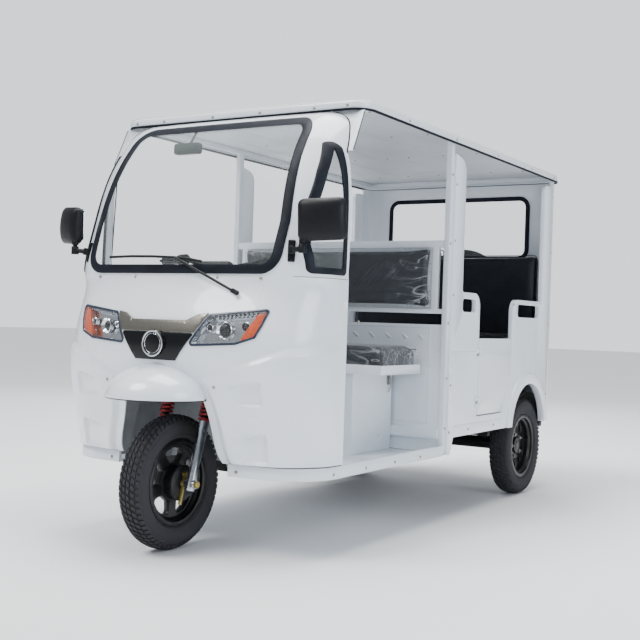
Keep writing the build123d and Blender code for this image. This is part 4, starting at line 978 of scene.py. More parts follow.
@dataclass
class Cushion:
    """A foam cushion in leathercloth, crowned, with welted edges and a pulled-in middle.

    Attributes:
        name: piece name.
        node: the CAD solid it stands for.
        low: lowest corner in metres of the space it fills.
        high: highest corner in metres.
        face: index and sign of the side one sits on or leans against, such as (2, 1) for +Z.
        crown_mm: how far the middle of that side stands above its border.
        edge_mm: radius of the cushion's edges.
        cell_mm: size of its mesh.
        lines: makes grooves: depth in millimetres at a point in metres.
        swell_mm: how far the filling may push any point of its cover.
        frames: frames of cloth that fill it.
    """

    name: str
    node: str
    low: Point
    high: Point
    face: tuple[int, int]
    crown_mm: float = 10.0
    edge_mm: float = 20.0
    cell_mm: float = 9.0
    lines: Callable[[Vector], float] | None = None
    swell_mm: float = 12.0
    frames: int = 14

    def shape(self) -> Form:
        """The slack cushion before it is filled, slightly smaller than its space.

        Returns:
            Vertices in metres, and faces.
        """
        axis, sign = self.face
        low, high = Vector(self.low), Vector(self.high)
        inset = 2.0 * MM
        for a in range(3):
            if a != axis:
                low[a] += inset
                high[a] -= inset
        if sign > 0:
            high[axis] -= self.crown_mm * MM
        else:
            low[axis] += self.crown_mm * MM
        size = high - low
        cells = tuple(max(4, round(size[a] / (self.cell_mm * MM))) for a in range(3))
        vertices, faces = rounded_box(low, high, self.edge_mm * MM, cells)
        centre = (low + high) / 2
        for point in vertices:
            share = [(point[a] - centre[a]) / (size[a] / 2) for a in range(3)]
            others = [a for a in range(3) if a != axis]
            up = max(0.0, share[axis] * sign)
            lift = self.crown_mm * 0.55 * MM * up
            for a in others:
                lift *= 1 - abs(share[a]) ** 3
            point[axis] += sign * lift
            for a, b in (others, reversed(others)):
                point[a] -= math.copysign(1.2 * MM, share[a]) * abs(share[a]) ** 6 * (1 - share[b] ** 2)
        return vertices, faces

    def fill(self, piece: Object) -> None:
        """Fill the cushion with cloth pressure, capping how far it swells.

        Args:
            piece: the slack cushion.
        """
        remesh = piece.modifiers.new("even_cells", "REMESH")
        remesh.mode = "VOXEL"
        remesh.voxel_size = self.cell_mm * MM
        remesh.use_smooth_shade = True
        apply_modifiers(piece)
        rest = [v.co.copy() for v in piece.data.vertices]
        cloth = piece.modifiers.new("fill", "CLOTH")
        cloth.settings.quality = 4
        cloth.settings.mass = 0.25
        cloth.settings.tension_stiffness = 12
        cloth.settings.compression_stiffness = 12
        cloth.settings.bending_stiffness = 0.6
        cloth.settings.use_pressure = True
        cloth.settings.uniform_pressure_force = 4.0
        cloth.settings.effector_weights.gravity = 0.0
        cloth.collision_settings.use_collision = False
        cloth.point_cache.frame_start = 1
        cloth.point_cache.frame_end = self.frames
        scene = bpy.context.scene
        for frame_number in range(1, self.frames + 1):
            scene.frame_set(frame_number)
        apply_modifiers(piece)
        scene.frame_set(1)
        cap, room = self.swell_mm * MM, 0.3 * MM
        for vertex, start in zip(piece.data.vertices, rest):
            move = vertex.co - start
            if move.length > cap:
                move *= cap / move.length
            point = start + move
            for a in range(3):
                point[a] = max(self.low[a] + room, min(self.high[a] - room, point[a]))
            vertex.co = point
        settle = piece.modifiers.new("settle", "SMOOTH")
        settle.factor = 0.5
        settle.iterations = 3
        fine = piece.modifiers.new("fine", "SUBSURF")
        fine.levels = fine.render_levels = 1
        apply_modifiers(piece)

    def sew(self, piece: Object) -> None:
        """Press the sewn lines and soft creases into the cushion's face.

        Args:
            piece: the filled cushion.
        """
        axis, sign = self.face
        low, high = Vector(self.low), Vector(self.high)
        size = high - low
        for vertex in piece.data.vertices:
            point = vertex.co
            near = (point[axis] - low[axis]) / size[axis]
            facing = near if sign > 0 else 1 - near
            if facing < 0.55:
                continue
            depth = 0.9 * (noise.noise(point * 9.0) + 0.6 * noise.noise(point * 23.0))
            if self.lines:
                depth += self.lines(point)
            point[axis] -= sign * max(-0.4, depth) * MM

    def build(self) -> None:
        """Make the cushion in place of its CAD solid."""
        piece = make_piece(self.name, self.shape(), SEAT_VINYL, 180)
        self.fill(piece)
        self.sew(piece)
        piece.data.shade_smooth()
        if not piece.data.materials:
            piece.data.materials.append(SEAT_VINYL.build())
        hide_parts(self.node)
        log.info("cushion %s: %d faces", self.name, len(piece.data.polygons))

    def welt(self, inset_mm: float = 6.0, radius_mm: float = 2.4) -> None:
        """Piping sewn round the border of the cushion's face.

        Args:
            inset_mm: how far in from the border it runs.
            radius_mm: radius of the piping.
        """
        axis, sign = self.face
        others = [a for a in range(3) if a != axis]
        low, high = Vector(self.low), Vector(self.high)
        level = (
            high[axis] - self.crown_mm * MM - 2 * MM
        ) if sign > 0 else (low[axis] + self.crown_mm * MM + 2 * MM)
        corner = max(self.edge_mm, 10.0) * MM
        centres = []
        for su, sv, start in ((1, 1, 0), (-1, 1, 90), (-1, -1, 180), (1, -1, 270)):
            u = (high if su > 0 else low)[others[0]] - su * (corner + inset_mm * MM)
            v = (high if sv > 0 else low)[others[1]] - sv * (corner + inset_mm * MM)
            centres.append((u, v, start))
        path: list[Vector] = []
        for u, v, start in centres:
            for step in range(7):
                angle = math.radians(start + 15 * step)
                point = Vector((0, 0, 0))
                point[others[0]] = u + corner * math.cos(angle)
                point[others[1]] = v + corner * math.sin(angle)
                point[axis] = level
                path.append(point)
        path.append(path[0].copy())
        make_piece(f"{self.name}_welt", tube(path, radius_mm * MM, 8), SEAT_VINYL, 60)


@dataclass
class Wrap:
    """Clear film left over part of a cushion.

    Attributes:
        name: piece name.
        low: lowest corner in metres of the cushion under it.
        high: highest corner in metres.
        proud_mm: how far it stands off the cushion.
        rumple_mm: height of its folds.
        edge_mm: radius of its edges.
        cell_mm: size of its mesh.
    """

    name: str
    low: Point
    high: Point
    proud_mm: float
    rumple_mm: float
    edge_mm: float = 16.0
    cell_mm: float = 7.0

    def build(self) -> None:
        """Make the film as a rumpled skin just off the cushion."""
        grow = Vector((self.proud_mm * MM,) * 3)
        low, high = Vector(self.low) - grow, Vector(self.high) + grow
        low[2] = self.low[2] + 1 * MM
        size = high - low
        cells = tuple(max(4, round(size[a] / (self.cell_mm * MM))) for a in range(3))
        vertices, faces = rounded_box(low, high, self.edge_mm * MM, cells)
        centre = (low + high) / 2
        for point in vertices:
            out = point - centre
            out = Vector([out[a] / size[a] for a in range(3)])
            out.normalize()
            fold = noise.ridged_multi_fractal(point * 14.0, 1.0, 2.0, 3, 1.0, 2.0) - 1.0
            point += out * (self.rumple_mm * MM * max(-0.5, min(1.0, fold)))
        make_piece(self.name, (vertices, faces), WRAP_FILM, 180)


Space = tuple[float, float, float, float, float]


@dataclass
class SeatingSet:
    """Every cushion in the vehicle, each in a space of its own.

    A space is given in millimetres as half width, front and rear behind the axle, low and high.

    Attributes:
        tray_mm: space of the driver's cushion.
        rest_mm: space of the driver's back pad, on the partition.
        cabin_rest_mm: space of the pad behind it, for the front bench.
        front_bench_mm: space of the front bench cushion.
        rear_bench_mm: space of the rear bench cushion.
        back_mm: space of the rear bench's back pad.
        slash_gap_mm: distance between the lines pressed into the driver's back pad.
    """

    tray_mm: Space = (465.0, 773.0, 1129.0, 660.6, 777.0)
    rest_mm: Space = (501.5, 1116.5, 1158.0, 948.6, 1215.4)
    cabin_rest_mm: Space = (544.5, 1174.8, 1199.6, 948.6, 1215.4)
    front_bench_mm: Space = (554.5, 1180.5, 1489.5, 752.6, 842.0)
    rear_bench_mm: Space = (554.5, 1930.5, 2329.5, 752.6, 842.0)
    back_mm: Space = (559.5, 2332.4, 2403.2, 754.9, 1271.4)
    slash_gap_mm: float = 22.0

    @staticmethod
    def corners(space: Space) -> tuple[Point, Point]:
        """Lowest and highest corner of a space, in metres."""
        half, front, rear, low, high = space
        return (-half * MM, behind(front), low * MM), (half * MM, behind(rear), high * MM)

    def slashes(self, point: Vector) -> float:
        """Depth of the diagonal lines pressed into the driver's backrest.

        Args:
            point: place in metres.

        Returns:
            Depth in millimetres.
        """
        low_z, high_z = self.rest_mm[3] * MM, self.rest_mm[4] * MM
        share = (point.z - low_z) / (high_z - low_z)
        depth = 0.0
        for centre in (-0.26, 0.26):
            across = point.x - centre
            slanted = across - (share - 0.57) * 0.25 * (1 if centre > 0 else -1)
            if abs(slanted) < 0.1 and 0.36 < share < 0.80:
                place = (slanted / (self.slash_gap_mm * MM)) % 1.0
                depth += 3.4 * math.exp(-((place - 0.5) / 0.17) ** 2)
        seam = (share - 0.24) / 0.022
        return depth + 2.6 * math.exp(-seam * seam)

    def cross_seams(self, spacing: float, width: float = 0.004) -> Callable[[Vector], float]:
        """Groove pattern of sewn channels running front to back.

        Args:
            spacing: distance between channels in metres.
            width: half width of a channel in metres.

        Returns:
            A function from a point to the groove's depth in millimetres.
        """

        def groove(point: Vector) -> float:
            """Depth at a point."""
            offset = (point.x / spacing + 0.5) % 1.0 - 0.5
            return 2.6 * math.exp(-((offset * spacing / width) ** 2))

        return groove

    def build(self) -> None:
        """Make all cushions, welts and wraps."""
        up, ahead, back = (2, 1), (1, -1), (1, 1)
        channels = self.cross_seams
        rows = [
            ("driver_cushion", "driver_seat", self.tray_mm, up, 12.0, 20.0, 10.0, None),
            ("driver_back_pad", "partition_backrests", self.rest_mm, ahead, 8.0, 12.0, 6.0, self.slashes),
            (
                "cabin_front_back_pad", "partition_backrests", self.cabin_rest_mm, back, 5.0, 8.0, 10.0,
                channels(0.22),
            ),
            (
                "front_bench_cushion", "bench_cushions", self.front_bench_mm, up, 10.0, 18.0, 12.5,
                channels(0.28),
            ),
            (
                "rear_bench_cushion", "bench_cushions", self.rear_bench_mm, up, 10.0, 18.0, 12.5,
                channels(0.28),
            ),
            ("rear_back_pad", "rear_backrest", self.back_mm, ahead, 9.0, 18.0, 12.0, channels(0.37)),
        ]
        for name, node, space, *rest in rows:
            cushion = Cushion(name, node, *self.corners(space), *rest)
            cushion.build()
            if name != "driver_back_pad":
                cushion.welt()
        Wrap("driver_cushion_wrap", *self.corners(self.tray_mm), 1.2, 2.2).build()
        Wrap("driver_back_wrap", *self.corners(self.rest_mm), 0.9, 1.6).build()


# ---- Front face geometry, for what is fastened to it ----


@dataclass
class CowlFace:
    """Plan sections of the moulded front, to place things on its skin.

    Attributes:
        half_mm: half width of the body.
        corner_mm: how far in from the side the corner begins.
        lower: height, foremost point behind the axle and fall to the corner, below the split.
        upper: the same above the split.
        split_mm: height of the split.
    """

    half_mm: float = 588.0
    corner_mm: float = 200.0
    lower: tuple[Point, ...] = (
        (345, -8, 18), (500, -46, 22), (640, -90, 30), (763, -119, 45), (830, -109, 45), (920, -70, 38),
        (1030, -10, 6),
    )
    upper: tuple[Point, ...] = (
        (1030, -10, 6), (1180, 18, 6), (1340, 70, 6), (1500, 148, 6), (1600, 225, 6), (1640, 268, 6),
        (1675, 330, 6),
    )
    split_mm: float = 1030.0

    def level(self, z_mm: float) -> Pair:
        """Foremost point and fall at a height, smoothly between the sections.

        Args:
            z_mm: height.

        Returns:
            Station of the foremost point, and fall to the corner, in millimetres.
        """
        rows = self.lower if z_mm < self.split_mm else self.upper
        z_mm = max(rows[0][0], min(rows[-1][0], z_mm))
        for index in range(len(rows) - 1):
            if rows[index][0] <= z_mm <= rows[index + 1][0]:
                break
        before, here, there = rows[max(index - 1, 0)], rows[index], rows[index + 1]
        beyond = rows[min(index + 2, len(rows) - 1)]
        gap = there[0] - here[0]
        t = (z_mm - here[0]) / gap
        found = []
        for column in (1, 2):
            m0 = (there[column] - before[column]) / max(there[0] - before[0], 1e-6) * gap
            m1 = (beyond[column] - here[column]) / max(beyond[0] - here[0], 1e-6) * gap
            found.append(
                (2 * t**3 - 3 * t**2 + 1) * here[column] + (t**3 - 2 * t**2 + t) * m0
                + (3 * t**2 - 2 * t**3) * there[column] + (t**3 - t**2) * m1
            )
        return found[0], found[1]

    def plan(self, z_mm: float, run: float) -> Quad:
        """Point of the plan section at a distance round it from the middle.

        Args:
            z_mm: height.
            run: distance along the skin from the middle line, positive to the left.

        Returns:
            x, distance behind the axle, and the outward normal's x and y, in millimetres.
        """
        nose, fall = self.level(z_mm)
        side = 1.0 if run >= 0 else -1.0
        run = abs(run)
        corner_x = self.half_mm - self.corner_mm
        front = (corner_x**2 + fall**2) / (2 * fall)
        turn = math.asin(corner_x / front)
        radius = self.corner_mm / (1 - math.sin(turn))
        centre = (corner_x - radius * math.sin(turn), nose + fall + radius * math.cos(turn))
        first = front * turn
        second = radius * (math.pi / 2 - turn)
        if run <= first:
            angle = run / front
            x, y = front * math.sin(angle), nose + front * (1 - math.cos(angle))
        elif run <= first + second:
            angle = turn + (run - first) / radius
            x, y = centre[0] + radius * math.sin(angle), centre[1] - radius * math.cos(angle)
        else:
            return side * self.half_mm, centre[1] + run - first - second, side, 0.0
        return side * x, y, side * math.sin(angle), -math.cos(angle)

    def on_front(self, x_mm: float, z_mm: float) -> tuple[Vector, Vector]:
        """Point on the skin and its outward normal, at a front-view place.

        Args:
            x_mm: distance from the middle.
            z_mm: height.

        Returns:
            The point in metres and its normal.
        """
        low, high = 0.0, 900.0
        for _ in range(40):
            middle = (low + high) / 2
            if self.plan(z_mm, middle)[0] < abs(x_mm):
                low = middle
            else:
                high = middle
        return self.on_skin(math.copysign(low, x_mm), z_mm)

    def on_skin(self, run: float, z_mm: float) -> tuple[Vector, Vector]:
        """Point on the skin and its outward normal, by distance round it and height.

        Args:
            run: distance round the skin in millimetres.
            z_mm: height.

        Returns:
            The point in metres and its normal.
        """
        x, y, nx, ny = self.plan(z_mm, run)
        x2, y2, _, _ = self.plan(z_mm + 1, run)
        up = Vector((x2 - x, y2 - y, 1)).normalized()
        flat = Vector((nx, ny, 0))
        outward = (flat - up * flat.dot(up)).normalized()
        return Vector((x * MM, behind(y), z_mm * MM)), outward


FACE = CowlFace()


# ---- Small fastenings ----


@dataclass
class Screw:
    """A cross-recessed washer-head screw, lying against its surface along X.

    Attributes:
        head_mm: head diameter.
        washer_mm: washer diameter.
    """

    head_mm: float = 8.5
    washer_mm: float = 13.0

    @property
    def form(self) -> Form:
        """The screw's head, washer and recess, pointing along X, in metres.

        Returns:
            Vertices in metres, and faces.
        """
        patch = MeshPatch()
        head, washer = self.head_mm / 2, self.washer_mm / 2
        patch.add(lathe([
            (-0.4, washer), (0.7, washer), (1.1, washer - 0.5), (1.1, head), (2.4, head - 0.4),
            (3.4, head * 0.66), (3.8, head * 0.3), (3.8, 0.0), (-0.4, 0.0),
        ], 16))
        wide = head * 0.55 * MM
        for turn in (0, 90):
            bar = rounded_box((3.0 * MM, -wide, -0.5 * MM), (3.95 * MM, wide, 0.5 * MM), 0.1 * MM, (1, 1, 1))
            patch.add(bar, Matrix.Rotation(math.radians(turn), 4, "X"))
        return patch.form


@dataclass
class HexBolt:
    """A wheel nut on a washer, with its stud, along X.

    Attributes:
        across_mm: size across the flats.
        height_mm: head height.
        stud_mm: how far a stud stands out beyond the head.
    """

    across_mm: float = 17.0
    height_mm: float = 9.0
    stud_mm: float = 7.0

    @property
    def form(self) -> Form:
        """The head, washer and stud, pointing along X, in metres.

        Returns:
            Vertices in metres, and faces.
        """
        patch = MeshPatch()
        radius = self.across_mm / math.sqrt(3)
        washer = self.across_mm * 0.68
        patch.add(lathe([(-0.5, washer), (1.4, washer), (1.4, 0.0), (-0.5, 0.0)], 24))
        top = self.height_mm + 1.6
        patch.add(lathe([(1.2, radius), (top - 1, radius), (top, radius * 0.86), (top, 0.0), (1.2, 0.0)], 6))
        stud, end = radius * 0.42, self.height_mm + 1.4 + self.stud_mm
        patch.add(lathe([(1.5, stud), (end - 1, stud), (end, stud * 0.7), (end, 0.0), (1.5, 0.0)], 12))
        return patch.form


@dataclass
class Fastenings:
    """Every screw that shows on the body.

    Attributes:
        front_mm: front-view places (x, z) on the cowl, mirrored.
        under_screen_mm: places under the windscreen, mirrored.
        side_mm: side-panel places (behind the axle, z), on both sides.
        panel_x_mm: distance of the side panels' faces from the middle.
        cheek_mm: place on the cowl's cheek, as distance round it and height.
        skirt_mm: places round the skirt, as distance round it from the middle.
        skirt_seat_mm: height of the skirt's plan section, height of its screws and how far they stand off it.
        skirt_end_mm: station behind which the skirt has no screws.
        roof_mm: places along the roof's front lip, from the middle, mirrored.
        roof_sides_mm: places along its side lips, behind the axle.
        roof_lip_mm: the side lips' distance from the middle, the front lip's station and the screws' height.
        pillar_mm: heights of the screws up the pillar.
        pillar_seat_mm: their distance from the middle and behind the axle.
    """

    front_mm: tuple[Pair, ...] = ((253, 630), (267, 410))
    under_screen_mm: tuple[Pair, ...] = ((386, 1022), (197, 1023))
    side_mm: tuple[Pair, ...] = (
        (1187, 400), (1187, 610), (1187, 1010), (1187, 1250), (1187, 1500), (1478, 740), (1478, 520),
        (2436, 520), (2436, 900), (2436, 1290), (2436, 1590), (1920, 990), (1700, 401), (1400, 401),
    )
    panel_x_mm: float = 595.0
    cheek_mm: Pair = (890.0, 876.0)
    skirt_mm: tuple[float, ...] = (300.0, 690.0, 930.0, 1170.0, 1400.0)
    skirt_seat_mm: Point = (345.0, 318.0, 3.0)
    skirt_end_mm: float = 1130.0
    roof_mm: tuple[float, ...] = (117.0, 373.0, 520.0)
    roof_sides_mm: tuple[float, ...] = (700.0, 1160.0, 1640.0, 2100.0, 2440.0)
    roof_lip_mm: Point = (600.0, 334.0, 1694.0)
    pillar_mm: tuple[float, ...] = (420.0, 640.0, 884.0, 1236.0, 1540.0)
    pillar_seat_mm: Pair = (586.0, 1161.0)

    def places(self, side: int) -> list[tuple[Sequence[float], Sequence[float]]]:
        """Every screw's place and outward direction on one side.

        Args:
            side: -1 for the right side, 1 for the left.

        Returns:
            Places in metres, each with its direction.
        """
        out = (side, 0, 0)
        found = []
        for x, z in (*self.front_mm, *self.under_screen_mm):
            place, outward = FACE.on_front(side * x, z)
            found.append((place + outward * CowlRelief().height(x, z) * MM, outward))
        found += [(spot(side * self.panel_x_mm, station, z), out) for station, z in self.side_mm]
        run, z = self.cheek_mm
        found.append(FACE.on_skin(side * run, z))
        section, z, proud = self.skirt_seat_mm
        for run in self.skirt_mm:
            x, y, nx, ny = FACE.plan(section, side * run)
            if y < self.skirt_end_mm:
                found.append((spot(x + nx * proud, y + ny * proud, z), (nx, ny, 0)))
        half, front, z = self.roof_lip_mm
        found += [(spot(side * half, station, z), out) for station in self.roof_sides_mm]
        found += [(spot(side * x, front, z), (0, -1, 0)) for x in self.roof_mm]
        x, station = self.pillar_seat_mm
        found += [(spot(side * x, station, z), out) for z in self.pillar_mm]
        return found

    def build(self) -> None:
        """Make all screws as one piece."""
        screws, form = MeshPatch(), Screw().form
        for side in (-1, 1):
            for place, outward in self.places(side):
                screws.add(form, aligned(place, outward))
        make_piece("body_screws", screws.form, BRIGHT_ZINC, 40)


# ---- Wheels' small parts, fork springs and lamps ----


@dataclass
class WheelTrim:
    """Nuts, hub cap and valve on one wheel.

    Attributes:
        name: wheel name used for its pieces.
        body: body it rides on.
        centre: wheel centre in metres.
        outward: direction out of the wheel's face.
        nuts: number of wheel nuts.
        nut_circle_mm: radius of their circle.
        face_mm: how far the nuts' seat is from the wheel's middle.
        cap_mm: hub cap radius.
    """

    name: str
    body: str
    centre: Point
    outward: Point
    nuts: int = 5
    nut_circle_mm: float = 60.0
    face_mm: float = 0.0
    cap_mm: float = 30.0

    def build(self) -> None:
        """Make the nuts, and the cap with the valve."""
        place = aligned(self.centre, self.outward)
        nuts, form = MeshPatch(), HexBolt().form
        circle = self.nut_circle_mm * MM
        for step in range(self.nuts):
            angle = 2 * math.pi * (step + 0.5) / self.nuts
            seat = (self.face_mm * MM, circle * math.cos(angle), circle * math.sin(angle))
            nuts.add(form, place @ Matrix.Translation(seat))
        cap = MeshPatch()
        x, r = self.face_mm, self.cap_mm
        cap.add(
            lathe(
                [(x - 2, r), (x + 8, r), (x + 13, r - 3), (x + 15, r * 0.6), (x + 15.5, 0.0), (x - 2, 0.0)],
                40,
            ),
            place,
        )
        valve = [Vector(point) for point in ((0.0, 0.128, 0.03), (0.012, 0.124, 0.03), (0.03, 0.119, 0.03))]
        cap.add(tube(valve, 3.2 * MM, 10), place)
        make_piece(f"{self.name}_nuts", nuts.form, BRIGHT_ZINC, 35, self.body)
        make_piece(f"{self.name}_cap", cap.form, WHEEL_ENAMEL, 35, self.body)


@dataclass
class CoilSpring:
    """The red coil springs above the fork's sliders.

    Attributes:
        fork_half_mm: distance of a leg from the middle.
        low_mm: where the coil starts up the leg, above the axle.
        high_mm: where it ends.
        coil_mm: coil radius to the wire's middle.
        wire_mm: wire radius.
        turns: number of turns.
        seat_mm: outer and inner radius and thickness of the rings that hold a coil's ends.
    """

    fork_half_mm: float = 95.0
    low_mm: float = 243.0
    high_mm: float = 371.0
    coil_mm: float = 22.5
    wire_mm: float = 4.0
    turns: float = 7.5
    seat_mm: Point = (26.6, 14.2, 5.0)

    def leg(self, distance: float, x: float, y: float, side: int) -> Vector:
        """Point beside a fork leg, by its distance up the leg and across it.

        Args:
            distance: how far up the leg, in millimetres.
            x: how far across, to the left.
            y: how far behind the leg.
            side: -1 for the right side, 1 for the left.

        Returns:
            The point in metres.
        """
        up = Vector((0, math.sin(RAKE), math.cos(RAKE)))
        back = Vector((0, math.cos(RAKE), -math.sin(RAKE)))
        base = Vector((side * self.fork_half_mm * MM, FRONT_AXLE_Y, WHEEL_RADIUS))
        return base + up * distance * MM + back * y * MM + Vector((x * MM, 0, 0))

    def build(self) -> None:
        """Make both coils in place of their sleeves, with their seats."""
        patch = MeshPatch()
        steps = int(self.turns * 22)
        low, high = self.low_mm + self.wire_mm + 4, self.high_mm - self.wire_mm - 4
        outer, inner, thick = self.seat_mm
        for side in (-1, 1):
            path = []
            for step in range(steps + 1):
                share = step / steps
                angle = 2 * math.pi * self.turns * share
                x, y = self.coil_mm * math.cos(angle), self.coil_mm * math.sin(angle)
                path.append(self.leg(low + (high - low) * share, x, y, side))
            patch.add(tube(path, self.wire_mm * MM, 10))
            origin = self.leg(0, 0, 0, side)
            up = (self.leg(1, 0, 0, side) - origin).normalized()
            for base, top in ((self.low_mm, self.low_mm + thick), (self.high_mm - thick, self.high_mm)):
                ring = [(base, outer), (top, outer), (top, inner), (base, inner)]
                patch.add(lathe(ring, 32), aligned(origin, up))
        springs = make_piece("fork_coils", patch.form, SPRING_RED, 40, "steering")
        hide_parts("fork_springs")


@dataclass
class HeadLamps:
    """What shows behind the clear lamp lenses: projectors, round lamps and a strip of small lights.

    Attributes:
        lamps_mm: place (x, z) and radius of the projector, the outer lamp and the inner one.
        strip_mm: ends of the light strip (x, z).
        lights: number of small lights.
        depth_mm: how far behind the face the lamps and the small lights sit.
        splay: how far the lamps and the small lights look outwards, as a slope.
    """

    lamps_mm: tuple[Point, ...] = ((280.0, 831.0, 31.0), (361.0, 846.0, 17.0), (222.0, 838.0, 13.0))
    strip_mm: Quad = (236.0, 878.0, 395.0, 893.0)
    lights: int = 11
    depth_mm: Pair = (15.0, 11.0)
    splay: Pair = (0.25, 0.2)

    def seat(self, side: int, x: float, z: float, small: bool) -> Matrix:
        """Matrix that seats a lamp, or a small light, behind a front-view place.

        Args:
            side: -1 for the right side, 1 for the left.
            x: distance from the middle in millimetres.
            z: height in millimetres.
            small: true for one of the small lights.

        Returns:
            The lamp's matrix.
        """
        skin, _ = FACE.on_front(side * x, z)
        return aligned(skin + Vector((0, self.depth_mm[small] * MM, 0)), (side * self.splay[small], -1, 0))

    def build(self) -> None:
        """Make the chromed rings and the lenses of both lamps."""
        rings, lenses = MeshPatch(), MeshPatch()
        x0, z0, x1, z1 = self.strip_mm
        for side in (-1, 1):
            for x, z, r in self.lamps_mm:
                place = self.seat(side, x, z, False)
                rings.add(
                    lathe([(-9, r), (4, r), (6, r - 2), (2, r - 5), (-3, r * 0.62), (-9, r * 0.62)], 40),
                    place,
                )
                b = r * 0.6
                lens = [(-8, b), (-2, b), (2.5, b * 0.8), (5, b * 0.45), (5.8, 0.0), (-8, 0.0)]
                lenses.add(lathe(lens, 32), place)
            for step in range(self.lights):
                share = step / (self.lights - 1)
                place = self.seat(side, x0 + (x1 - x0) * share, z0 + (z1 - z0) * share, True)
                rings.add(lathe([(-5, 5.2), (1, 5.2), (1, 4.2), (-2, 3.0), (-5, 3.0)], 14), place)
                lenses.add(lathe([(-4, 2.8), (-1, 2.8), (0.2, 1.6), (0.6, 0.0), (-4, 0.0)], 12), place)
        make_piece("lamp_rings", rings.form, CHROME, 35)
        make_piece("lamp_projectors", lenses.form, PIANO_ABS, 35)


# ---- Bodywork details ----


def ramp(value: float, low: float, high: float) -> float:
    """Smooth step from 0 at low to 1 at high; works downwards if high is below low."""
    share = max(0.0, min(1.0, (value - low) / (high - low)))
    return share * share * (3 - 2 * share)


def along(points: Sequence[Pair], x: float) -> float:
    """Height of a polyline at x, with its ends carried on level.

    Args:
        points: the polyline's corners, in order of x.
        x: where to read it.

    Returns:
        The height there.
    """
    if x <= points[0][0]:
        return points[0][1]
    for (x0, y0), (x1, y1) in zip(points, points[1:]):
        if x <= x1:
            return y0 + (y1 - y0) * (x - x0) / (x1 - x0)
    return points[-1][1]


def surface_of(node: Object) -> BVHTree:
    """Search tree over a CAD node's own mesh, for seating pieces on it."""
    vertices = [v.co.copy() for v in node.data.vertices]
    return BVHTree.FromPolygons(vertices, [tuple(p.vertices) for p in node.data.polygons])


@dataclass
class CowlRelief:
    """The pressed relief of the cowl's lower corners: a proud shoulder with two pockets.

    Attributes:
        proud_mm: how far the shoulder stands out.
        brow: upper edge of the shoulder, as distance round the skin and height.
        arch: edge beside the wheel arch, as height and distance round the skin.
        reach_mm: distances before the cowl's rear edge between which the shoulder dies away.
        rear_mm: rear edge of the relief behind the axle.
        pockets: low and high edge of each pocket.
        pocket_run_mm: where a pocket fades in, is fully deep, and its far wall's start and end.
        levels_mm: height of the relief's foot and head.
        cells: mesh cells round the skin and up it.
    """

    proud_mm: float = 15.0
    brow: tuple[Pair, ...] = ((215, 668), (300, 700), (430, 742), (520, 775), (640, 790), (760, 800))
    arch: tuple[Pair, ...] = ((348, 262), (430, 246), (575, 214), (600, 208), (660, 190), (700, 180))
    reach_mm: Pair = (250.0, 20.0)
    rear_mm: float = 266.0
    pockets: tuple[Pair, ...] = ((560.0, 634.0), (352.0, 448.0))
    pocket_run_mm: Quad = (292.0, 372.0, 426.0, 440.0)
    levels_mm: Pair = (347.5, 812.0)
    cells: tuple[int, int] = (118, 82)

    def rear_run(self, z: float) -> float:
        """Distance round the skin at which a level meets the relief's rear edge."""
        return 900.0 - (FACE.plan(z, 900.0)[1] - self.rear_mm)

    def height(self, run: float, z: float) -> float:
        """How far the relief stands off the plain skin, in millimetres.

        Args:
            run: distance round the skin in millimetres.
            z: height in millimetres.

        Returns:
            The height off the skin.
        """
        brow = along(self.brow, run)
        rear = self.rear_run(z)
        rise = self.proud_mm * ramp(z, brow, brow - 34) * ramp(
            run, rear - self.reach_mm[1], rear - self.reach_mm[0],
        )
        rise *= ramp(run, along(self.arch, z), along(self.arch, z) + 34)
        near, deep, wall, end = self.pocket_run_mm
        for low, high in self.pockets:
            top = high + 22 * ramp(run, near, wall)
            inside = ramp(run, near, deep) * ramp(run, end, wall)
            inside *= ramp(z, low, low + 20) * ramp(z, top, top - 12)
            rise -= (self.proud_mm - 0.5) * inside
        return rise

    def build(self, cowl: Object) -> None:
        """Lay the relief over both corners of the cowl, leaving out what would lie flat on it.

        Args:
            cowl: the cowl's CAD node.
        """
        skin = surface_of(cowl)
        columns, rows = self.cells
        foot, head = self.levels_mm
        sunk, least = -0.6, 0.02
        for side, word in ((-1, "right"), (1, "left")):
            vertices: list[Vector] = []
            flat: set[int] = set()
            for row in range(rows + 1):
                z = foot + (head - foot) * row / rows
                start = along(self.arch, z) + 1
                for column in range(columns + 1):
                    run = start + (self.rear_run(z) - start) * (column / columns) ** 1.15
                    place, outward = FACE.on_skin(side * run, z)
                    hit = skin.ray_cast(place + outward * 0.06, -outward, 0.12)[0]
                    lift = self.height(run, z)
                    if lift < least or hit is None:
                        flat.add(len(vertices))
                    edge = row in (0, rows) or column in (0, columns)
                    vertices.append((hit or place) + outward * (sunk if edge or lift < least else lift) * MM)
            faces = []
            for row in range(rows):
                for column in range(columns):
                    a = row * (columns + 1) + column
                    corners = (a, a + 1, a + columns + 2, a + columns + 1)
                    if not flat.issuperset(corners):
                        faces.append(corners)
            make_piece(f"cowl_relief_{word}", (vertices, faces), CAB_WHITE, 50)


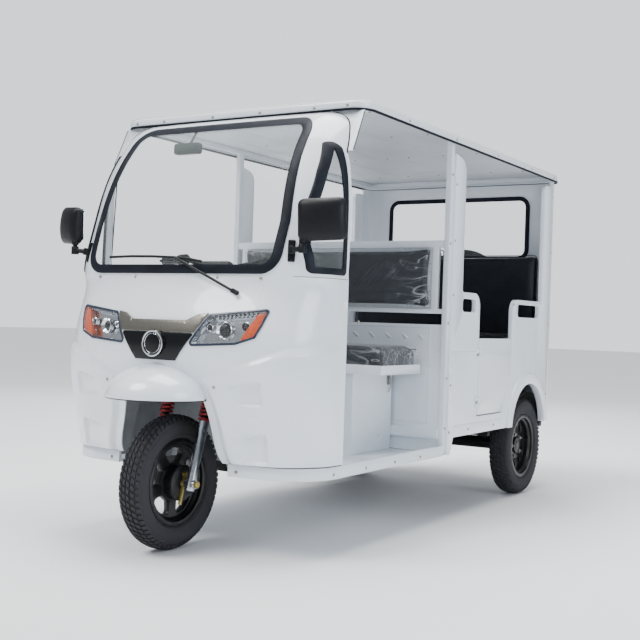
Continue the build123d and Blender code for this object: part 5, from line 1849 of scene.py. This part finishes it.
@dataclass
class CeilingBeads:
    """Stiffening beads along the ceiling sheet, with a screw at each crossing of the roof bows.

    Attributes:
        across_mm: distance of each bead from the middle line.
        along_mm: first and last station of a bead.
        bows_mm: stations of the screws.
        screw_gap_mm: how far a screw is beside its bead.
        below_mm: height in the cabin from which the sheet is looked for.
    """

    across_mm: tuple[float, ...] = (-430.0, -250.0, -60.0, 60.0, 250.0, 430.0)
    along_mm: Pair = (520.0, 2380.0)
    bows_mm: tuple[float, ...] = (560.0, 1090.0, 1640.0, 2250.0)
    screw_gap_mm: float = 60.0
    below_mm: float = 1500.0

    def build(self, liner: Object) -> None:
        """Lay the beads and screws under the sheet.

        Args:
            liner: the ceiling sheet's CAD node.
        """
        sheet = surface_of(liner)
        up = Vector((0, 0, 1))

        def above(x: float, station: float) -> Vector | None:
            """The sheet's underside over a place, if it reaches there."""
            return sheet.ray_cast(spot(x, station, self.below_mm), up, 0.4)[0]

        beads, screws, form = MeshPatch(), MeshPatch(), Screw().form
        first, last = self.along_mm
        for across in self.across_mm:
            hits = [above(across, first + (last - first) * step / 24) for step in range(25)]
            path = [hit + up * 1.2 * MM for hit in hits if hit]
            if len(path) > 2:
                beads.add(tube(path, 2.6 * MM, 8))
            for bow in self.bows_mm:
                hit = above(across + self.screw_gap_mm, bow)
                if hit:
                    screws.add(form, aligned(hit, -up))
        make_piece("ceiling_beads", beads.form, CEILING_SHEET, 50)
        make_piece("ceiling_screws", screws.form, BRIGHT_ZINC, 40)


@dataclass
class Edging:
    """Rubber edging, seams, rims and a painted shadow line drawn along the bodywork.

    Attributes:
        hood: hood's centre behind the axle, rim radius and rim height.
        cowl_rear: foot, bend and head of the cowl's rear edge, as (behind the axle, z).
        gusset: foot and head of the outer edge of the plate behind it, as (x, behind the axle, z).
        foot_shadow_line: start round the skin, last station and height of the dark line at the cowl's foot, a
            painted shadow of the gap above the skirt.
        split_seam: start and length round the skin, and height, of the seam across the cowl's side.
    """

    hood: Point = (-75.0, 200.2, 575.0)
    cowl_rear: tuple[Pair, ...] = ((270, 1040), (269, 1510), (348, 1672))
    gusset: tuple[Point, Point] = ((588, 272, 1512), (588, 349, 1671))
    foot_shadow_line: Point = (266.0, 266.0, 347.2)
    split_seam: Point = (505.0, 370.0, 1030.0)

    def hood_path(self) -> list[Vector]:
        """Points round the rim of the wheel hood.

        Returns:
            Points in metres.
        """
        centre, radius, z = self.hood
        angles = [math.radians(-93 + 186 * step / 60) for step in range(61)]
        return [spot(radius * math.sin(a), centre - radius * math.cos(a), z) for a in angles]

    def cowl_rear_path(self, side: int) -> list[Vector]:
        """Points up the rear edge of the cowl.

        Args:
            side: -1 for the right side, 1 for the left.

        Returns:
            Points in metres.
        """
        (y, z), (y0, z0), (y1, z1) = self.cowl_rear
        path = [spot(side * 588.5, y, z)]
        for step in range(25):
            y, z = y0 + (y1 - y0) * step / 24, z0 + (z1 - z0) * step / 24
            low, high = 0.0, 1500.0
            for _ in range(40):
                middle = (low + high) / 2
                low, high = (middle, high) if FACE.plan(z, middle)[1] < y else (low, middle)
            place, outward = FACE.on_skin(side * low, z)
            path.append(place + outward * 0.5 * MM)
        return path

    def foot_path(self, side: int) -> list[Vector]:
        """Points of the painted shadow line round the foot of the cowl, in front of its rear edge.

        Args:
            side: -1 for the right side, 1 for the left.

        Returns:
            Points in metres.
        """
        start, rear, z = self.foot_shadow_line
        skin = [FACE.on_skin(side * (start + step * 10), z) for step in range(70)]
        return [place + outward * 0.3 * MM for place, outward in skin if place.y < behind(rear)]

    def gusset_path(self, side: int) -> list[Vector]:
        """Points up the outer edge of the gusset plate."""
        foot, head = (spot(side * x, station, z) for x, station, z in self.gusset)
        return [foot.lerp(head, step / 12) for step in range(13)]

    def split_path(self, side: int) -> list[Vector]:
        """Points of the seam between the cowl's lower and upper mouldings.

        Args:
            side: -1 for the right side, 1 for the left.

        Returns:
            Points in metres.
        """
        start, length, z = self.split_seam
        skin = [FACE.on_skin(side * (start + length * step / 39), z) for step in range(40)]
        return [place + outward * 0.1 * MM for place, outward in skin]

    def build(self) -> None:
        """Make every strip as a tube along its path."""
        strips = [("hood_rim", self.hood_path(), 4.6)]
        for side, word in ((-1, "right"), (1, "left")):
            strips += [
                (f"cowl_rear_edging_{word}", self.cowl_rear_path(side), 2.6),
                # The foot line is painted shadow: a dark strip for the shade in the gap between the cowl and
                # the skirt.
                (f"cowl_foot_shadow_line_{word}", self.foot_path(side), 1.4),
                (f"gusset_edging_{word}", self.gusset_path(side), 2.2),
                (f"cowl_split_seam_{word}", self.split_path(side), 0.9),
            ]
        for name, path, radius_mm in strips:
            make_piece(name, tube(path, radius_mm * MM, 10), SEAL_RUBBER, 50)


@dataclass
class ArchLining:
    """Sheet lining from the edge of the wheel arch in the cowl back to the wheel box.

    Attributes:
        outline: right-hand half of the arch from its foot to the top, in the front view.
        back_mm: how far behind the axle it ends.
        thick_mm: sheet thickness.
        inside_mm: how far behind the cowl's face it begins.
    """

    outline: tuple[Pair, ...] = ((256, 330), (234, 420), (212, 500), (190, 577), (153, 664), (0, 664))
    back_mm: float = 44.0
    thick_mm: float = 2.5
    inside_mm: float = 7.0

    def build(self) -> None:
        """Make the lining as one bent sheet."""
        whole = [(-x, z) for x, z in self.outline] + [(x, z) for x, z in reversed(self.outline[:-1])]
        vertices, faces = [], []
        for x, z in whole:
            front = FACE.on_front(x, z)[0].y + self.inside_mm * MM
            sign = 1 if x > 0 else -1
            for grow in (0.0, self.thick_mm):
                wide = x + (sign * grow if x else 0.0)
                high = z + (grow if z > 650 else 0.0)
                vertices += [(wide * MM, y, high * MM) for y in (front, behind(self.back_mm))]
        last = 4 * (len(whole) - 1)
        for a in range(0, last, 4):
            faces += [
                (a, a + 1, a + 5, a + 4), (a + 2, a + 6, a + 7, a + 3), (a, a + 4, a + 6, a + 2),
                (a + 1, a + 3, a + 7, a + 5),
            ]
        faces += [(0, 2, 3, 1), (last, last + 1, last + 3, last + 2)]
        # The lining is finished in painted shade: mid grey for the shade inside the wheel box.
        make_piece("wheel_arch_lining", (vertices, faces), WELL_SHADE_GREY, 30)


@dataclass
class RoofSkin:
    """The ribbed roof moulding: an upright lip, a rounded shoulder and a low, waved crown.

    Attributes:
        half_mm: half width.
        ends_mm: front and rear behind the axle.
        corner_mm: plan corner radius.
        foot_mm: height of the lip's foot.
        profile: distance in from the edge and height above the foot.
        rib_gap_mm: spacing of the long ribs.
        rib_mm: rib height.
        wall_mm: thickness of the moulding.
    """

    half_mm: float = 600.0
    ends_mm: Pair = (334.0, 2560.0)
    corner_mm: float = 75.0
    foot_mm: float = 1683.0
    profile: tuple[Pair, ...] = (
        (0, 0), (0, 10), (0, 20), (1.5, 27), (6, 32), (14, 36), (30, 38.5), (60, 40), (110, 42), (180, 44),
        (270, 46), (370, 47), (480, 48), (600, 48),
    )
    rib_gap_mm: float = 205.0
    rib_mm: float = 8.0
    wall_mm: float = 3.5

    def outline(self) -> list[Pair]:
        """Plan of the roof, round its corners and along its sides, as (x, behind the axle).

        Returns:
            Points in millimetres, in order.
        """
        front, rear = self.ends_mm
        reach, round_mm = self.half_mm - self.corner_mm, self.corner_mm
        corners = [
            (reach, rear - round_mm, 0), (-reach, rear - round_mm, 90), (-reach, front + round_mm, 180),
            (reach, front + round_mm, 270),
        ]
        edge: list[Pair] = []
        for index, (x, y, start) in enumerate(corners):
            for step in range(9):
                angle = math.radians(start + 90 * step / 8)
                edge.append((x + round_mm * math.cos(angle), y + round_mm * math.sin(angle)))
            # A corner's arc ends on the straight that runs to the next corner's own arc.
            next_x, next_y, _ = corners[(index + 1) % 4]
            here, sideways = edge[-1], y == next_y
            there = (next_x, here[1]) if sideways else (here[0], next_y)
            count = 40 if sideways else 26
            edge += [
                (here[0] + (there[0] - here[0]) * i / count, here[1] + (there[1] - here[1]) * i / count)
                for i in range(1, count)
            ]
        return edge

    def build(self) -> None:
        """Make the skin in place of its CAD solid."""
        front, rear = self.ends_mm
        edge = self.outline()
        vertices, faces = [], []
        for inset, rise in self.profile:
            share = inset / self.half_mm
            for x, y in edge:
                spine = max(front + self.half_mm, min(rear - self.half_mm, y))
                px, py = x * (1 - share), y + (spine - y) * share
                wave = math.cos(2 * math.pi * px / self.rib_gap_mm)
                rib = self.rib_mm * max(0.0, wave) ** 0.8 * ramp(inset, 18, 75)
                vertices.append(spot(px, py, self.foot_mm + rise + rib))
        count = len(edge)
        for a in range(0, (len(self.profile) - 1) * count, count):
            for i in range(count):
                j = (i + 1) % count
                faces.append((a + i, a + j, a + count + j, a + count + i))
        skin = make_piece("roof_skin", (vertices, faces), CAB_WHITE, 40)
        bm = bmesh.new()
        bm.from_mesh(skin.data)
        bmesh.ops.remove_doubles(bm, verts=bm.verts, dist=1e-6)
        bmesh.ops.recalc_face_normals(bm, faces=bm.faces)
        bm.to_mesh(skin.data)
        bm.free()
        wall = skin.modifiers.new("wall", "SOLIDIFY")
        wall.thickness, wall.offset = self.wall_mm * MM, -1.0
        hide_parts("roof_shell")


@dataclass
class WingMirror:
    """A door-less cab's wing mirror: rounded head on a bent stem from a foot on the cowl.

    Attributes:
        centre_mm: head centre out from the middle, behind the axle and height.
        size_mm: head width, depth and height.
        yaw: turn of the head outwards, in degrees.
        foot_mm: arm's end at the foot plate.
        plate_mm: the plate's place (x, z) in the front view.
        elbow_mm: height of the stem's bend.
        stem: radius of the stem in metres.
        collars_mm: foot, head and radius of each collar on the stem.
    """

    centre_mm: Point = (604.0, 44.0, 1232.0)
    size_mm: Point = (172.0, 58.0, 150.0)
    yaw: float = 28.0
    foot_mm: Point = (490.0, 22.0, 1122.0)
    plate_mm: Pair = (484.0, 1120.0)
    elbow_mm: float = 1128.0
    stem: float = 0.0095
    collars_mm: tuple[Point, ...] = ((1112.0, 1142.0, 15.0), (1150.0, 1168.0, 13.5))

    def head(self, side: int) -> Form:
        """The head's shell about its own centre, bulged to the front and drawn in at its corners.

        Args:
            side: -1 for the right side, 1 for the left.

        Returns:
            Vertices in metres, and faces.
        """
        wide, deep, tall = (value * MM / 2 for value in self.size_mm)
        vertices, faces = rounded_box((-wide, -deep, -tall), (wide, deep, tall), 0.024, (26, 12, 22))
        for point in vertices:
            u, v = point.x / wide, point.z / tall
            front = max(0.0, -point.y / deep)
            point.y += front * 2 * deep * 0.22 * (u * u + v * v - 0.4)
            point.x *= 1 - 0.05 * v * (1 if u * side > 0 else -0.6)
            point.z += 0.006 * u * side * abs(v)
        return vertices, faces

    def glass(self) -> Form:
        """The glass about the head's centre, its corners rounded to the shell's.

        Returns:
            Vertices in metres, and faces.
        """
        wide, deep, tall = (value * MM / 2 for value in self.size_mm)
        rim, inset, corner = 0.008, 0.0085, 0.02
        low, high = (rim - wide, deep - 0.002, rim - tall), (wide - rim, deep + 0.0015, tall - rim)
        vertices, faces = rounded_box(low, high, 0.0012, (24, 2, 20))
        for point in vertices:
            for a, b, half, other in ((0, 2, wide, tall), (2, 0, tall, wide)):
                over = abs(point[b]) - (other - inset - corner)
                if over > 0:
                    room = half - inset - corner + math.sqrt(max(0.0, corner**2 - min(over, corner) ** 2))
                    point[a] = max(-room, min(room, point[a]))
        return vertices, faces

    def build(self) -> None:
        """Make both mirrors in place of the CAD ones."""
        shells, glasses = MeshPatch(), MeshPatch()
        x, y, z = self.centre_mm
        for side in (-1, 1):
            turn = Matrix.Rotation(math.radians(side * self.yaw), 4, "Z")
            place = Matrix.Translation(spot(side * x, y, z)) @ turn
            shells.add(self.head(side), place)
            glasses.add(self.glass(), place)
            stem_top = place @ Vector((-side * 0.066, 0.0, -0.062))
            elbow = Vector((stem_top.x, stem_top.y, self.elbow_mm * MM))
            foot = spot(side * self.foot_mm[0], *self.foot_mm[1:])
            bend = [foot, foot.lerp(elbow, 0.75), elbow + Vector((0, 0, 0.012)), stem_top]
            shells.add(tube(bend, self.stem, 14))
            for low, high, r in self.collars_mm:
                collar = [(low, r), (high, r), (high + 2, r - 2), (high + 2, 0.0), (low, 0.0)]
                shells.add(lathe(collar, 20), aligned((elbow.x, elbow.y, 0.0), (0, 0, 1)))
            skin, outward = FACE.on_front(side * self.plate_mm[0], self.plate_mm[1])
            plate = aligned(skin, outward)
            upright = plate.inverted() @ (skin + Vector((0, 0, 1)))
            plate = plate @ Matrix.Rotation(math.atan2(upright.z, upright.y) - math.pi / 2, 4, "X")
            shells.add(
                rounded_box((-0.004, -0.0135, -0.040), (0.012, 0.0135, 0.040), 0.004, (4, 8, 16)), plate,
            )
            shells.add(rounded_box((0.008, -0.010, -0.014), (0.030, 0.010, 0.014), 0.004, (6, 6, 8)), plate)
        shell = make_piece("wing_mirror_shells", shells.form, BLACK_PP, 60)
        glass = make_piece("wing_mirror_glasses", glasses.form, MIRROR_GLASS, 30)
        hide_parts("side_mirrors")
        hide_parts("mirror_glasses")


@dataclass
class BadgeRing:
    """Blank chromed double ring on the nose panel.

    Attributes:
        centre_mm: behind the axle and height of its face.
        rings: outer radius, inner radius and height of each ring.
    """

    centre_mm: Pair = (-132.0, 774.0)
    rings: tuple[Point, ...] = ((49.0, 42.5, 3.4), (37.5, 35.0, 2.2))

    def build(self) -> None:
        """Make the rings."""
        patch = MeshPatch()
        place = aligned(spot(0, *self.centre_mm), (0, -1, 0))
        for outer, inner, rise in self.rings:
            top = (rise, (outer + inner) / 2)
            ring = [(-1.0, outer), (rise * 0.5, outer), top, (rise * 0.5, inner), (-1.0, inner)]
            patch.add(lathe(ring, 72), place)
        make_piece("nose_ring", patch.form, CHROME, 60)


@dataclass
class PartitionDetails:
    """Stamped frame and dimple row on the partition, and the latches of the seat box.

    Attributes:
        face_mm: partition's front face behind the axle.
        seam_mm: stamped frame's half width, low and high.
        dimples: number of slanted dimples.
        dimple_z_mm: their height.
        dimple_lean: how far they lean, in degrees.
        latch_x_mm: distance of each latch from the middle.
        hook_mm: bends of a latch's hook: out from the latch, behind the axle and height.
    """

    face_mm: float = 1150.0
    seam_mm: Point = (505.0, 440.0, 862.0)
    dimples: int = 12
    dimple_z_mm: float = 822.0
    dimple_lean: float = 38.0
    latch_x_mm: float = 332.0
    hook_mm: tuple[Point, ...] = ((6, 1098, 640), (14, 1100, 622), (13, 1096, 590), (6, 1092, 566))

    def build(self) -> None:
        """Make the raised frame, the dimples and the latches."""
        half, low, high = self.seam_mm
        frame, y = MeshPatch(), self.face_mm
        for x_low, z_low, x_high, z_high in (
            (-half, low, half, low), (half, low, half, high), (
                -half, high, half, high,
            ), (-half, low, -half, high),
        ):
            frame.add(rounded_box(
                spot(x_low - 3, y - 1.6, z_low - 3), spot(x_high + 3, y + 1, z_high + 3), 1.2 * MM, (2, 2, 2),
            ))
        lean = Matrix.Rotation(math.radians(self.dimple_lean), 4, "Y")
        for step in range(self.dimples):
            place = Matrix.Translation(
                spot(-half + 2 * half * (step + 0.5) / self.dimples, y, self.dimple_z_mm)
            )
            dimple = rounded_box((-0.017, -0.0035, -0.006), (0.017, 0.001, 0.006), 0.0034, (10, 4, 6))
            frame.add(dimple, place @ lean)
        make_piece("partition_pressing", frame.form, INNER_WHITE, 60)
        latch = MeshPatch()
        for side in (-1, 1):
            x = side * self.latch_x_mm
            latch.add(rounded_box(spot(x - 4, 1085, 600), spot(x + 4, 1112, 652), 0.002, (3, 6, 8)))
            latch.add(tube([spot(x + side * out, station, z) for out, station, z in self.hook_mm], 0.003, 8))
        make_piece("seat_box_latches", latch.form, BRIGHT_ZINC, 50)


@dataclass
class Studio:
    """Camera, floor and soft lights.

    Attributes:
        camera_at: camera place in metres.
        yaw: turn of the view from +Y towards -X, in degrees.
        pitch: tilt above the horizon.
        roll: turn about the view.
        lens_mm: focal length on a 36 mm wide sensor.
        surround: strength of the pale surround as a light and as seen.
        floor_reach: half size of the floor in metres.
        boxes: name, place, aim, size in metres, power in watts and colour of each soft box.
        sky: direction, strength and spread in degrees of the pale sky's sun.
    """

    camera_at: Point = (2.5371, -4.2989, 0.8768)
    yaw: float = 31.5385
    pitch: float = 0.034
    roll: float = 1.9165
    lens_mm: float = 59.297
    surround: Pair = (0.42, 1.5)
    floor_reach: float = 40.0
    boxes: tuple[tuple[str, Point, Point, float, float, str], ...] = (
        ("side_box", (6.0, -1.8, 3.0), (0.3, 0.2, 0.8), 3.0, 175.0, "#EEF5FF"),
        ("top_box", (0.2, 0.0, 6.4), (0.0, 0.0, 0.0), 4.0, 500.0, "#FFFFFF"),
        ("back_box", (-3.5, 5.5, 3.4), (0.0, 0.5, 0.9), 3.0, 160.0, "#F4F8FF"),
    )
    sky: tuple[Point, float, float] = ((2.6, 4.2, -6.4), 2.7, 28.0)

    def camera(self) -> None:
        """Set the camera at the shared frame's view of the vehicle."""
        yaw, pitch, roll = (math.radians(a) for a in (self.yaw, self.pitch, self.roll))
        ahead = Vector((-math.sin(yaw) * math.cos(pitch), math.cos(yaw) * math.cos(pitch), math.sin(pitch)))
        right = Vector((math.cos(yaw), math.sin(yaw), 0))
        up = right.cross(ahead)
        right_rolled = math.cos(roll) * right + math.sin(roll) * up
        up_rolled = -math.sin(roll) * right + math.cos(roll) * up
        data = bpy.data.cameras.new("view")
        data.lens, data.sensor_width, data.clip_end = self.lens_mm, 36.0, 100.0
        camera = bpy.data.objects.new("view", data)
        basis = Matrix((right_rolled, up_rolled, -ahead)).transposed().to_4x4()
        camera.matrix_world = Matrix.Translation(self.camera_at) @ basis
        bpy.context.scene.collection.objects.link(camera)
        bpy.context.scene.camera = camera

    def floor(self) -> None:
        """Lay the pale floor."""
        mesh = bpy.data.meshes.new("studio_floor")
        reach = self.floor_reach
        corners = [(x * reach, y * reach, 0) for x, y in ((-1, -1), (1, -1), (1, 1), (-1, 1))]
        mesh.from_pydata(corners, [], [(0, 1, 2, 3)])
        floor = bpy.data.objects.new("studio_floor", mesh)
        bpy.context.scene.collection.objects.link(floor)
        mesh.materials.append(BACKDROP_PAPER.build())

    def lights(self) -> None:
        """Set the pale surround, the soft boxes and the sky's sun."""
        world = bpy.data.worlds.new("pale_surround")
        world.use_nodes = True
        pale = world.node_tree.nodes["Background"]
        pale.inputs["Color"].default_value = linear("#F3F7FD")
        seen = add_node(world.node_tree, "ShaderNodeLightPath").outputs["Is Camera Ray"]
        level = stretch(world.node_tree, seen, To_Min=self.surround[0], To_Max=self.surround[1])
        world.node_tree.links.new(level, pale.inputs["Strength"])
        bpy.context.scene.world = world
        for name, place, aim, size, power, colour in self.boxes:
            data = bpy.data.lights.new(name, "AREA")
            data.shape, data.size, data.energy = "SQUARE", size, power
            data.color = linear(colour)[:3]
            self.hang(data, place, Vector(aim) - Vector(place))
        direction, strength, spread = self.sky
        data = bpy.data.lights.new("key_sky", "SUN")
        data.energy, data.angle = strength, math.radians(spread)
        self.hang(data, (0, 0, 0), Vector(direction))

    @staticmethod
    def hang(data: bpy.types.Light, place: Sequence[float], direction: Vector) -> None:
        """Put a light at a place, shining along a direction.

        Args:
            data: the light's data.
            place: where it stands, in metres.
            direction: where it shines.
        """
        light = bpy.data.objects.new(data.name, data)
        turn = direction.to_track_quat("-Z", "Y").to_matrix().to_4x4()
        light.matrix_world = Matrix.Translation(place) @ turn
        bpy.context.scene.collection.objects.link(light)

    def build(self) -> None:
        """Set everything up."""
        self.camera()
        self.floor()
        self.lights()


def main() -> None:
    """Build the dressed vehicle piece by piece."""
    logging.basicConfig(level=logging.INFO, format="%(name)s: %(message)s")
    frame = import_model()
    Studio().build()
    CadDress().dress(frame["nodes"])
    rear_y = FRONT_AXLE_Y + WHEELBASE
    wheels = [
        ("front_tyre", "front_wheel", (0.0, FRONT_AXLE_Y, WHEEL_RADIUS), (1, 0, 0), 95.0),
        ("rear_tyre_left", "rear_wheel_left", (TRACK_HALF, rear_y, WHEEL_RADIUS), (1, 0, 0), 104.0),
        ("rear_tyre_right", "rear_wheel_right", (-TRACK_HALF, rear_y, WHEEL_RADIUS), (-1, 0, 0), 104.0),
        ("spare_tyre", "body", (0.0, behind(SPARE_STATION_MM), SPARE_HEIGHT), (0, 1, 0), 104.0),
    ]
    for wheel in wheels:
        Tyre(*wheel).build()
    for node, body, centre, outward, _ in wheels[1:]:
        WheelTrim(node.replace("tyre", "wheel"), body, centre, outward).build()
    SeatingSet().build()
    CoilSpring().build()
    HeadLamps().build()
    Fastenings().build()
    CowlRelief().build(frame["nodes"]["front_cowl"])
    CeilingBeads().build(frame["nodes"]["roof_liner"])
    for part in (Edging, ArchLining, RoofSkin, WingMirror, BadgeRing, PartitionDetails):
        part().build()


if __name__ == "__main__":
    main()
